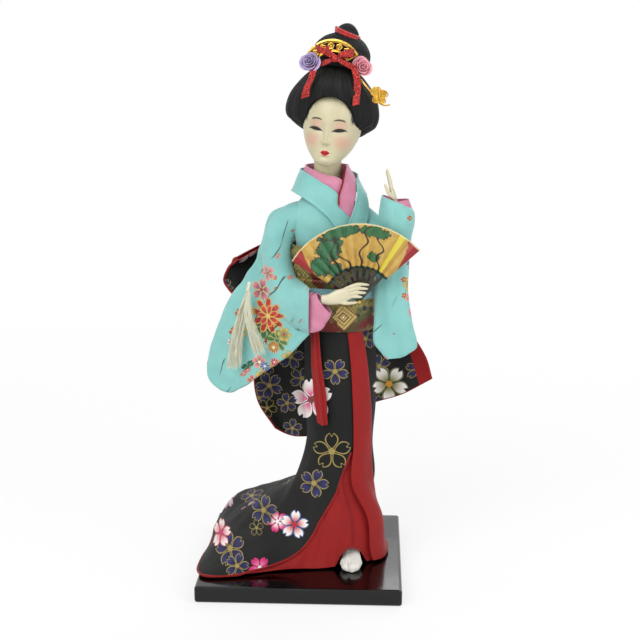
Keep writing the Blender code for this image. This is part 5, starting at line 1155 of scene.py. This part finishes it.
HAIR_LEVELS = (
    # height, half width, front depth and back depth in mm, droop behind
    (-2.6, 12.0, 6.0, 13.0, 8.0), (-1.7, 17.2, 8.0, 18.5, 8.0), (0.0, 21.0, 10.0, 22.5, 7.0),
    (2.0, 23.8, 11.5, 24.6, 6.0), (5.5, 24.8, 13.0, 25.6, 4.0), (10.0, 24.2, 15.0, 25.5, 2.4),
    (14.5, 22.6, 17.0, 24.6, 1.4), (19.0, 19.8, 17.9, 22.4, 0.6), (23.0, 16.4, 16.8, 19.0, 0.2),
    (26.6, 12.4, 13.4, 14.6, 0.0), (29.2, 7.6, 8.4, 9.0, 0.0), (30.6, 1.5, 1.5, 1.5, 0.0))
hair_rows, hair_cols = int(150 * FINE), int(420 * FINE)
levels = spline(HAIR_LEVELS, hair_rows)
turn = turns_round(hair_cols)
fronts = np.cos(turn) > 0
cap_local = np.zeros((hair_rows, hair_cols, 3))
cap_local[:, :, 0] = 0.5 - levels[:, 1:2] * np.sin(turn)[None, :]
cap_local[:, :, 1] = -np.where(fronts[None, :], levels[:, 2:3], levels[:, 3:4]) * np.cos(turn)[None, :]
cap_local[:, :, 2] = levels[:, 0:1] + levels[:, 4:5] * np.minimum(np.cos(turn), 0.0)[None, :]
comb_wave = np.sin(turn * 46.0)[None, :] * 0.10 + np.sin(turn * 17.0 + 1.0)[None, :] * 0.16
comb_wave = comb_wave + rough(cap_local, 10.0, 31, (1, 1, 0.4)) * 0.5
cap_local = pushed(cap_local, comb_wave * np.clip((30.6 - levels[:, 0:1]) / 6.0, 0.0, 1.0), closed=True)
arch_x = np.abs(cap_local[:, :, 0] - 1.7) / 12.5
arch_z = np.maximum(cap_local[:, :, 2] - 2.0, 0.0) / 12.9
hidden = np.clip((1.0 - np.hypot(arch_x, arch_z)) / 0.05, 0.0, 1.0) * (cap_local[:, :, 1] < -1.0)
cap_local[:, :, 1] += 9.0 * hidden
cap_mesh = grid_mesh("hair_cap_look", on_head(cap_local), closed=True)
outward_faces(cap_mesh, fill=True)
finish_mesh("hair_cap_look", cap_mesh, (hair,), "hair_cap")


def hair_ball(node, centre, half, grooves, lean):
    """A wound mass of hair: strands run over it from side to side."""
    rows, cols = int(90 * FINE), int(200 * FINE)
    down = np.linspace(0.02, np.pi - 0.02, rows)[:, None]
    turn = 2 * np.pi * np.arange(cols)[None, :] / cols
    local = np.zeros((rows, cols, 3))
    local[:, :, 0] = np.cos(down)
    local[:, :, 1] = -np.sin(down) * np.cos(turn)
    local[:, :, 2] = np.sin(down) * np.sin(turn)
    flat = np.sign(local) * np.abs(local) ** np.array((1.0, 0.95, 0.9))
    flat *= np.array(half)
    flat[:, :, 2] += lean * (flat[:, :, 0] / half[0]) ** 2
    grid = flat + np.array(centre)
    groove = np.sin(turn * grooves) * 0.14 * np.sin(down) + rough(grid, 6.0, 33) * 0.3
    grid = pushed(grid, groove, closed=True)
    mesh = grid_mesh(node + "_look", on_head(grid), closed=True, flip=True)
    finish_mesh(node + "_look", mesh, (hair,), node)


hair_ball("hair_bun", (2.2, 1.5, 36.4), (15.2, 12.6, 10.6), 24.0, -1.6)
hair_ball("hair_topknot", (4.2, 0.8, 45.6), (6.5, 6.0, 6.2), 15.0, -0.8)

# Topknot tie: a red silk cord wound twice round the foot of the topknot and
# tilted with it.
turn = turns_round(64)
tie_x, tie_y, tie_lean = 4.6 + 6.1 * np.sin(turn), 0.8 - 6.2 * np.cos(turn), 2.0 * np.sin(turn)
tie_routes = [on_head(np.stack([tie_x, tie_y, high - tie_lean], axis=1)) for high in (46.0, 47.2)]
tie_finish = Finish("red_cord", (176, 20, 22), 0.5, Sheen_Weight=0.3)
tie_finish.bump(tie_finish.waves(tie_finish.here, 420.0, 2.0, "DIAGONAL"), 0.0002)
tubes("bun_tie_look", tie_routes, [0.8, 0.8], tie_finish, "bun_tie", sides=10, closed=True)

# Gilt comb: a thin stamped arch above the fringe with six long openings, wire
# flowers soldered over the bars and a bead along each edge; gilt over brass.
gilt = Finish("gilt", (226, 184, 84), 0.24, 1.0)
worn = gilt.noise(gilt.here, 140.0, 5.0, 0.7)
gilt.colour(gilt.mix(gilt.ramp(worn, 0.35, 0.7), (196, 148, 58), (238, 200, 104)))
gilt.polish(gilt.ramp(worn, 0.3, 0.8, 0.16, 0.4))
gilt.bump(gilt.noise(gilt.here, 900.0, 3.0), 0.00006)
COMB_SWEEP, COMB_LEAN, FLOWER_REACH = math.radians(64.0), math.radians(-8.0), 11.75


def comb_place(reach, turn, depth):
    """A point of the comb in the head's frame: reach from its centre, turn from upright."""
    return (0.5 + reach * np.sin(turn + COMB_LEAN), -12.4 + depth, 28.2 + reach * np.cos(turn + COMB_LEAN))


def flower_wire(reach, turn, size, count):
    """A wire bent to five lobes, closed, as reach and turn pairs."""
    way = 2 * np.pi * (np.arange(count + 1) % count) / count
    lobes = size * (0.72 + 0.28 * np.abs(np.cos(2.5 * way)))
    return [(reach + r * math.cos(w), turn + r * math.sin(w) / reach) for r, w in zip(lobes, way)]


def arc_band(low, high, start, stop, count):
    """The outline of a piece of a ring, as reach and turn pairs."""
    sweep = np.linspace(start, stop, count)
    return [(low, t) for t in sweep] + [(high, t) for t in sweep[::-1]]


comb_frame = arc_band(8.7, 15.2, -COMB_SWEEP, COMB_SWEEP, 49)
comb_holes = []
for k in range(6):
    centre_turn = COMB_SWEEP * (k - 2.5) / 3.0
    comb_holes.append(arc_band(9.9, 13.6, centre_turn - 0.155, centre_turn + 0.155, 9))
outline_curve = bpy.data.curves.new("comb", "CURVE")
outline_curve.dimensions = "2D"
outline_curve.fill_mode = "BOTH"
outline_curve.extrude = 0.00038
outline_curve.bevel_depth = 0.00012
outline_curve.bevel_resolution = 1
for loop in [comb_frame] + comb_holes:
    line = outline_curve.splines.new("POLY")
    line.points.add(len(loop) - 1)
    for point, (reach, turn_at) in zip(line.points, loop):
        point.co = (reach * math.sin(turn_at) * MM, reach * math.cos(turn_at) * MM, 0.0, 1.0)
    line.use_cyclic_u = True
comb_mesh = evaluated("comb", outline_curve)
for vertex in comb_mesh.vertices:
    x, z, depth = vertex.co / MM
    place = comb_place(math.hypot(x, z), math.atan2(x, z), depth + 0.5)
    vertex.co = on_head(place) * MM
beads = [[on_head(comb_place(edge, t, 0.0)) for t in np.linspace(-COMB_SWEEP, COMB_SWEEP, 60)] for edge in (9.1, 14.5)]
for k in range(5):
    centre_turn = COMB_SWEEP * (k - 2) / 3.0
    beads.append([on_head(comb_place(reach, at, 0.0)) for reach, at in flower_wire(FLOWER_REACH, centre_turn, 1.5, 40)])
    beads.append([on_head(comb_place(FLOWER_REACH, centre_turn, depth)) for depth in (0.3, 0.0, -0.4)])
bead_mesh = tube_mesh("comb_bead", beads, [0.42, 0.75] + [0.36, (0.95, 0.9, 0.5)] * 5, 8)
outward_faces(comb_mesh, bead_mesh)
finish_mesh("comb_look", comb_mesh, (gilt,), "comb")
comb_mesh.set_sharp_from_angle(angle=math.radians(40.0))

# Gilt hairpin: a bent wire with a hanging butterfly of four thin stamped wings
# round a small body, all polished gilt.
PIN_ROUTE = ((27.5, -10.5, 265), (31.4, -15.5, 261.6), (36.2, -17, 256), (40.4, -17, 251), (43.2, -16.6, 249.6),
             (46, -16.2, 249.8))
pin_line = spline(up(PIN_ROUTE), 40)
pin_routes, pin_radii = [pin_line], [np.linspace(0.62, 0.4, 40)]
for x, z, wide, tall, lean in ((38.6, 256.6, 2.2, 2.6, -0.4), (42, 255.4, 2.4, 2.2, 0.5), (39, 252.4, 1.7, 1.9, -0.2),
                               (41.8, 252, 1.6, 1.7, 0.4)):
    way = 2 * np.pi * np.arange(41) / 40
    bulge = 1.0 + 0.22 * np.cos(2 * way + lean)
    for scale, radius in ((1.0, 0.26), (0.55, 0.2)):
        wing = np.stack([x + wide * scale * bulge * np.cos(way), np.full(41, -17.3) - 0.3 * np.cos(way),
                         z + tall * scale * bulge * np.sin(way)], axis=1)
        pin_routes.append(up(wing))
        pin_radii.append(radius)
pin_routes.append(up(((40.4, -17.4, 257.6), (40.3, -17.5, 254.2), (40.2, -17.4, 251.4))))
pin_radii.append((0.3, 0.62, 0.3))
pin_mesh = tube_mesh("hairpin_look", pin_routes, pin_radii, 8)
wings = bmesh.new()
wings.from_mesh(pin_mesh)
for x, z, wide, tall in ((38.6, 256.6, 2.1, 2.5), (42, 255.4, 2.3, 2.1), (39, 252.4, 1.6, 1.8), (41.8, 252, 1.5, 1.6)):
    made = bmesh.ops.create_cone(wings, cap_ends=True, cap_tris=False, segments=28, radius1=1.0, radius2=0.9, depth=0.3)
    for vertex in made["verts"]:
        a, b, c = vertex.co
        vertex.co = Vector(up(((x + wide * a, -17.3 + c, z + tall * b),))[0]) * MM
bmesh.ops.recalc_face_normals(wings, faces=wings.faces)
wings.to_mesh(pin_mesh)
wings.free()
finish_mesh("hairpin_look", pin_mesh, (gilt,), "hairpin")
pin_mesh.set_sharp_from_angle(angle=math.radians(50.0))

# Red glitter ribbon in the hair: a small bow with crossed strands and two
# hanging tails, of woven ribbon strewn with cut foil flakes.
ribbon_red = Finish("glitter_ribbon", (150, 14, 18), 0.45, Sheen_Weight=0.3)
ribbon_red.mottled(700.0, 3.0, (96, 2, 6), (160, 10, 12))
weave(ribbon_red, 0.00045, 0.00008)
flake = Finish("red_flake", (200, 20, 22), 0.25, 0.85)
flake_tone = flake.noise(flake.here, 2400.0, 1.0)
flake.colour(flake.mix(flake.ramp(flake_tone, 0.35, 0.65), (120, 4, 8), (240, 70, 56)))


def ribbon_grid(points, halves, rows, cols):
    """A strip along the points, each with the step from its middle to its edge."""
    control = [[np.array(p) - np.array(h), np.array(p), np.array(p) + np.array(h)] for p, h in zip(points, halves)]
    return patch(np.array(control), rows, cols)


def strewn(name, mesh, seed):
    """Foil flakes strewn over a mesh by a node group with named inputs."""
    group = bpy.data.node_groups.new("glitter", "GeometryNodeTree")
    inputs = {"Geometry": "Geometry", "Density": "Float", "Flake size": "Float", "Seed": "Int"}
    for label, kind in inputs.items():
        group.interface.new_socket(label, in_out="INPUT", socket_type="NodeSocket" + kind)
    group.interface.new_socket("Geometry", in_out="OUTPUT", socket_type="NodeSocketGeometry")
    kinds = {"entry": "NodeGroupInput", "leave": "NodeGroupOutput", "spread": "GeometryNodeDistributePointsOnFaces",
             "flat": "GeometryNodeMeshCircle", "tip": "FunctionNodeRandomValue", "turned": "FunctionNodeRotateRotation",
             "place": "GeometryNodeInstanceOnPoints", "lift": "GeometryNodeTranslateInstances",
             "real": "GeometryNodeRealizeInstances", "paint": "GeometryNodeSetMaterial",
             "both": "GeometryNodeJoinGeometry"}
    nodes = {label: group.nodes.new(kind) for label, kind in kinds.items()}
    nodes["flat"].fill_type = "NGON"
    nodes["flat"].inputs["Vertices"].default_value = 6
    nodes["tip"].data_type = "FLOAT_VECTOR"
    nodes["tip"].inputs[0].default_value = (-0.45, -0.45, -3.1)
    nodes["tip"].inputs[1].default_value = (0.45, 0.45, 3.1)
    nodes["turned"].rotation_space = "LOCAL"
    nodes["lift"].inputs["Local Space"].default_value = True
    nodes["lift"].inputs["Translation"].default_value = (0.0, 0.0, 0.00006)
    nodes["paint"].inputs["Material"].default_value = flake.material
    for source, output, target, socket in (
            ("entry", "Geometry", "spread", "Mesh"), ("entry", "Density", "spread", "Density"),
            ("entry", "Seed", "spread", "Seed"), ("entry", "Seed", "tip", "Seed"),
            ("entry", "Flake size", "flat", "Radius"), ("spread", "Points", "place", "Points"),
            ("spread", "Rotation", "turned", "Rotation"), ("tip", 0, "turned", "Rotate By"),
            ("turned", "Rotation", "place", "Rotation"), ("flat", "Mesh", "place", "Instance"),
            ("place", "Instances", "lift", "Instances"), ("lift", "Instances", "real", "Geometry"),
            ("real", "Geometry", "paint", "Geometry"), ("entry", "Geometry", "both", "Geometry"),
            ("paint", "Geometry", "both", "Geometry"), ("both", "Geometry", "leave", "Geometry")):
        group.links.new(nodes[source].outputs[output], nodes[target].inputs[socket])
    holder = bpy.data.objects.new(name, mesh)
    bpy.context.scene.collection.objects.link(holder)
    step = holder.modifiers.new("glitter", "NODES")
    step.node_group = group
    values = {"Density": FLAKE_DENSITY, "Flake size": FLAKE_SIZE, "Seed": seed}
    for item in group.interface.items_tree:
        if item.item_type == "SOCKET" and item.in_out == "INPUT" and item.name in values:
            step[item.identifier] = values[item.name]
    made = bpy.data.meshes.new_from_object(holder.evaluated_get(bpy.context.evaluated_depsgraph_get()))
    bpy.data.objects.remove(holder, do_unlink=True)
    return made


def glitter_ribbon(node, grids, seed):
    """Ribbon strips of one piece, given a thickness and strewn with flakes."""
    name = node + "_look"
    strips = bmesh.new()
    for grid in grids:
        strips.from_mesh(grid_mesh(name, grid))
    mesh = bpy.data.meshes.new(name)
    strips.to_mesh(mesh)
    strips.free()
    mesh.materials.append(ribbon_red.material)
    thick = evaluated(name, mesh, SOLIDIFY={"thickness": 0.3 * MM, "offset": 0.0})
    finish_mesh(name, strewn(name, thick, seed), (), node)


FLAKE_DENSITY, FLAKE_SIZE = 6.0e6, 0.17 * MM


KNOT_AT = up(((17.6, -19.6, 273.0),))[0]
bow_strips = []
for points, halves in (
        (((17.2, -19.2, 273.2), (14.0, -20.6, 275.6), (10.2, -20.8, 277.6), (8.4, -19.0, 278.2), (10.4, -17.4, 277.2),
          (16.8, -18.0, 273.4)),
         ((0, 0, 0.9), (-0.7, 0, 1.5), (-0.8, 0, 1.9), (-0.6, 0, 1.9), (-0.6, 0, 1.6), (0, 0, 0.9))),
        (((18.0, -19.2, 273.0), (21.4, -20.6, 275.2), (25.0, -20.8, 275.8), (27.2, -19.0, 275.6), (24.8, -17.4, 275.0),
          (18.2, -18.0, 273.2)),
         ((0, 0, 0.9), (0.5, 0, 1.5), (0.4, 0, 1.9), (0.3, 0, 1.9), (0.3, 0, 1.6), (0, 0, 0.9))),
        (((12.4, -18.4, 278.6), (15.0, -19.4, 276.2), (18.6, -20.2, 273.2), (22.6, -20.0, 270.8), (27.0, -17.6, 268.8)),
         ((0.9, 0, 0.9), (0.8, 0, 0.9), (0.6, 0, 0.9), (0.7, 0, 1.0), (0.6, 0, 1.3))),
        (((10.2, -17.8, 270.2), (13.4, -19.6, 271.2), (17.2, -19.4, 272.8)),
         ((0.2, 0, 1.2), (0.1, 0, 1.3), (0.2, 0, 0.9)))):
    bow_strips.append(ribbon_grid(up(points), halves, 60, 10))
way = np.linspace(0, 2 * np.pi, 41)
bow_strips.append(np.stack([np.stack([
    KNOT_AT[0] + across + 0 * way, KNOT_AT[1] - 1.3 * np.cos(way), KNOT_AT[2] + 1.6 * np.sin(way)], axis=1)
    for across in np.linspace(-1.3, 1.3, 8)], axis=1))
glitter_ribbon("hair_ribbon_bow", bow_strips, 11)
for side, points, halves, seed in (
        ("left", ((8.0, -17.4, 269.9), (6.6, -19.6, 266), (5.3, -20.6, 262), (3.4, -21.2, 258), (2.7, -20.9, 253.6)),
         ((1.5, -0.4, 0.2), (1.6, 0.3, 0.2), (1.7, -0.5, 0.3), (1.8, 0.4, 0.4), (2.1, -0.2, 0.7)), 5),
        ("right", ((27.0, -16.2, 269.4), (28.4, -18.4, 265.6), (29.3, -19.3, 261.4), (28.9, -19.2, 255.6),
                   (28.6, -20.0, 249.8)),
         ((1.5, 0.4, 0.2), (1.7, -0.4, -0.1), (1.8, 0.4, -0.2), (1.8, -0.4, 0.1), (1.8, 0.2, 0.5)), 8)):
    grid = ribbon_grid(up(points), halves, 80, 10)
    glitter_ribbon("hair_ribbon_tail_" + side, [pushed(grid, rough(grid, 3.0, seed) * 0.25)], seed)

# Ribbon roses: satin ribbon wound from a tight bud into opening turns, its free
# edge rolled outward petal by petal.
purple = Finish("purple_satin", (120, 92, 148), 0.42, Sheen_Weight=0.5, Sheen_Roughness=0.3)
rose_satin = Finish("rose_satin", (214, 120, 136), 0.42, Sheen_Weight=0.5, Sheen_Roughness=0.3)
for satin, deep, light in ((purple, (112, 92, 150), (198, 182, 216)), (rose_satin, (206, 110, 128), (244, 186, 194))):
    satin.mottled(260.0, 4.0, deep, light)
    satin.bump(satin.noise(satin.uv, 1500.0, 2.0, stretch=(1.0, 0.1, 1.0)), 0.00005)


def rose(node, satin, centre, facing, turns, seed):
    """A ribbon rose wound about its centre, looking the way it faces."""
    rows, cols, radius = int(72 * turns * FINE), 12, ROSE_RADIUS
    along = np.linspace(0.0, 1.0, rows)[:, None]
    across = np.linspace(0.0, 1.0, cols)[None, :]
    angle = along * turns * 2 * np.pi + seed
    petal = np.abs(np.sin(angle * 1.27)) ** 0.6
    base = radius * (0.02 + 0.55 * along ** 0.9)
    flare = radius * along ** 1.2 * (0.10 + 0.30 * petal) * across ** 1.7
    high = radius * (-0.42 + across * (1.0 - 0.55 * along) * (0.72 + 0.28 * petal) - 0.16 * along * across ** 4)
    grid = np.stack([(base + flare) * np.cos(angle), (base + flare) * np.sin(angle), high + 0 * angle], axis=2)
    grid[:, 0] = np.array((0.0, 0.0, -0.1 * radius))
    grid = grid + rough(grid, 2.2, seed)[:, :, None] * np.array((0.12, 0.12, 0.2))
    ahead = Vector(facing).normalized()
    frame_of = ahead.to_track_quat("Z", "Y").to_matrix()
    grid = grid @ np.array(frame_of).T + np.array(up((centre,))[0])
    cloth(node + "_look", grid, (satin,), 0.22, node)


ROSE_RADIUS = 6.4
rose("rose_purple", purple, (4.7, -18.0, 271.6), (-0.25, -1, 0.25), 4.6, 3)
rose("rose_pink", rose_satin, (31.7, -15.0, 268.8), (0.2, -1, 0.25), 4.4, 7)

# Folding fan leaf: stiff gilt paper in twelve folds, painted with green
# clouds, dark branches and red corners, a painted highlight of bright yellow on one fold, light edges.
FAN_AT = np.array(up(((31.2, -25.5, 148.5),))[0])
FAN_MIDDLE, FAN_OPEN, FAN_INNER, FAN_OUTER, FAN_CREASES = math.radians(-5.3), math.radians(107.0), 18.0, 41.5, 24
paper = Finish("fan_paper", (186, 158, 84), 0.5, Coat_Weight=0.15, Coat_Roughness=0.3)
fan_x, _, fan_z = paper.parts(paper.apart(paper.here, tuple(FAN_AT * MM)))
outward = ((fan_x * fan_x + fan_z * fan_z).root() - FAN_INNER * MM) / ((FAN_OUTER - FAN_INNER) * MM)
fan_turn = (fan_x.bearing(fan_z) - (FAN_MIDDLE - FAN_OPEN / 2)) / FAN_OPEN
grain = paper.noise(paper.here, 220.0, 4.0)
ragged = paper.noise(paper.here, 330.0, 3.0, 0.6)
art = paper.mix(grain, (146, 104, 40), (204, 172, 84))
for at_turn, at_out, wide, tall, deep, light in (
        (0.27, 0.60, 0.13, 0.26, (10, 54, 34), (40, 112, 62)), (0.11, 0.40, 0.10, 0.26, (12, 58, 36), (46, 116, 66)),
        (0.40, 0.88, 0.15, 0.15, (10, 52, 34), (44, 110, 60)), (0.66, 0.84, 0.11, 0.14, (14, 58, 34), (54, 118, 60)),
        (0.22, 0.14, 0.10, 0.15, (12, 54, 36), (44, 108, 60)), (0.70, 0.30, 0.07, 0.12, (14, 58, 34), (60, 116, 58))):
    round_by, out_by = (fan_turn - at_turn) / wide, (outward - at_out) / tall
    cloud = (ragged - 0.5) * 1.5 + (round_by * round_by + out_by * out_by).root()
    art = paper.mix(paper.ramp(cloud, 0.92, 1.02, 1.0, 0.0), art, (16, 34, 26))
    leaves = paper.mix(paper.noise(paper.here, 620.0, 3.0), deep, light)
    art = paper.mix(paper.ramp(cloud, 0.80, 0.92, 1.0, 0.0), art, leaves)
for at_turn, lean, start, stop, wander in (
        (0.22, 0.35, 0.0, 0.8, 0.030), (0.40, -0.30, 0.05, 0.9, 0.034), (0.54, 0.22, 0.0, 1.0, 0.026),
        (0.80, -0.28, 0.0, 0.75, 0.030)):
    bend = (outward * (9.0 + 8.0 * at_turn)).sine() * wander
    beside = abs(fan_turn - at_turn - (bend + outward * (lean * 0.4)))
    twig = paper.ramp(beside - (1.25 - outward) * 0.009, 0.0, 0.006, 1.0, 0.0)
    art = paper.mix(twig * ((outward > start) * (outward < stop)), art, (50, 34, 24))
corner = abs(fan_turn - 0.5) + outward * 0.16 + (grain - 0.5) * 0.05
art = paper.mix(paper.ramp(corner, 0.55, 0.565), art, (140, 20, 20))
# Painted highlight: one pleat's facet is coloured bright yellow, as if light falls on it.
lit_fold_highlight = (fan_turn > 20.0 / FAN_CREASES) * (fan_turn < 21.0 / FAN_CREASES)
art = paper.mix(lit_fold_highlight * 0.9, art, (196, 184, 44))
art = paper.mix(paper.ramp(outward, 0.05, 0.07, 1.0, 0.0), art, (30, 44, 32))
paper.colour(paper.mix(paper.ramp(outward, 0.965, 0.98, 0.0, 0.85), art, (206, 196, 150)))
paper.bump(grain, 0.00005)
leaf_rows, leaf_cols = 24, FAN_CREASES * 8 + 1
steps = np.linspace(0.0, FAN_CREASES, leaf_cols)
fold = np.abs((steps + 1.0) % 2.0 - 1.0)
fold = 1.4 * (1.0 - 0.06 * np.cos(steps * 2.3)) * fold
reaches = np.linspace(FAN_INNER, FAN_OUTER, leaf_rows)[:, None]
turns = FAN_MIDDLE + FAN_OPEN * (steps / FAN_CREASES - 0.5)
leaf = np.stack([FAN_AT[0] + reaches * np.sin(turns), FAN_AT[1] - fold[None, :] + 0 * reaches,
                 FAN_AT[2] + reaches * np.cos(turns)], axis=2)
leaf[:, :, 1] += rough(leaf, 9.0, 17) * 0.2
fan_leaf = cloth("fan_leaf_look", leaf, (paper,), 0.35, "fan_leaf")

# Fan ribs and rivet: eight thin dark painted slats that fan out under the
# paper from one gilt rivet, kept as the solids give them.
slats = Finish("dark_slats", (34, 44, 34), 0.35, Coat_Weight=0.3, Coat_Roughness=0.2)
slats.colour(slats.mix(slats.noise(slats.here, 300.0, 4.0, stretch=(1.0, 1.0, 0.15)), (22, 30, 24), (58, 66, 50)))
slats.bump(slats.noise(slats.here, 900.0, 3.0, stretch=(1.0, 1.0, 0.15)), 0.00008)
for k in range(8):
    dress("fan_rib_%d" % (k + 1), slats)
dress("fan_rivet", gilt)

# Hands: moulded in one piece each, fingers together and the thumb free, their
# edges softened and coated in the face's pale paint.
hand_skin = Finish("hand_skin", (196, 190, 162), 0.42, Subsurface_Weight=0.12, Subsurface_Scale=0.0012,
                   Subsurface_Radius=(1.0, 0.45, 0.25), Coat_Weight=0.12, Coat_Roughness=0.3)
hand_skin.mottled(120.0, 3.0, (188, 180, 148), (208, 202, 176))
hand_skin.bump(hand_skin.noise(hand_skin.here, 700.0, 3.0), 0.00005)


def softened(name, node, voxel, rounds):
    """A node's own form with its facets rounded away, as a new mesh."""
    form = bpy.data.objects[node].data.copy()
    form.materials.clear()
    return evaluated(name, form, REMESH={"mode": "VOXEL", "voxel_size": voxel * MM},
                     SMOOTH={"factor": 0.6, "iterations": rounds})


hand_voxel = 0.24 / FINE
for node in ("hand_right", "hand_left"):
    finish_mesh(node + "_look", softened(node + "_look", node, hand_voxel, 6), (hand_skin,), node)

# Feet in white socks of close-woven cotton over stuffing, each with a split
# beside the great toe and a seam along the top.
sock = Finish("sock_cloth", (226, 224, 216), 0.85, Sheen_Weight=0.3)
sock.mottled(160.0, 4.0, (206, 203, 194), (238, 236, 230))
weave(sock, 0.00032, 0.00007, sock.here)
for node, inner in (("foot_front", -1.0), ("foot_back", 1.0)):
    foot_mesh = softened(node + "_look", node, 0.3 / FINE, 8)
    places = np.zeros(3 * len(foot_mesh.vertices))
    foot_mesh.vertices.foreach_get("co", places)
    places = places.reshape(-1, 3) / MM
    tip = places[:, 1].min()
    middle = places[places[:, 1] < tip + 7.0, 0].mean() + 1.0 * inner
    near = np.clip((tip + 7.5 - places[:, 1]) / 4.0, 0.0, 1.0)
    groove = np.exp(-((places[:, 0] - middle) / 0.62) ** 2) * near
    seam = np.exp(-((places[:, 0] - middle) / 0.25) ** 2) * (1.0 - near)
    top = np.clip((places[:, 2] - 10.5) / 2.5, 0.0, 1.0)
    places[:, 2] -= 1.5 * groove * top + 0.18 * seam * top
    places[:, 1] += 1.3 * groove * np.clip(1.0 - (places[:, 1] - tip) / 4.0, 0.0, 1.0)
    foot_mesh.vertices.foreach_set("co", (places * MM).ravel())
    foot = finish_mesh(node + "_look", foot_mesh, (sock,), node)

# Inside: drawn steel wires and the body's wound cotton padding, which show
# only from below or where a sleeve hangs open.
wire_steel = Finish("wire_steel", (150, 150, 148), 0.34, 1.0)
wire_steel.polish(wire_steel.ramp(wire_steel.noise(wire_steel.here, 300.0, 5.0), 0.3, 0.8, 0.24, 0.5))
wire_steel.bump(wire_steel.noise(wire_steel.here, 900.0, 3.0, stretch=(1.0, 1.0, 0.05)), 0.00005)
for node in ("leg_wire_left", "leg_wire_right", "arm_wire_left", "arm_wire_right"):
    dress(node, wire_steel)
padding = Finish("wound_cotton", (204, 196, 180), 0.95, Sheen_Weight=0.4)
padding.mottled(90.0, 5.0, (184, 174, 154), (220, 214, 200))
padding.bump(padding.waves(padding.here, 240.0, 3.0, "Z"), 0.0006)
dress("torso_core", padding)
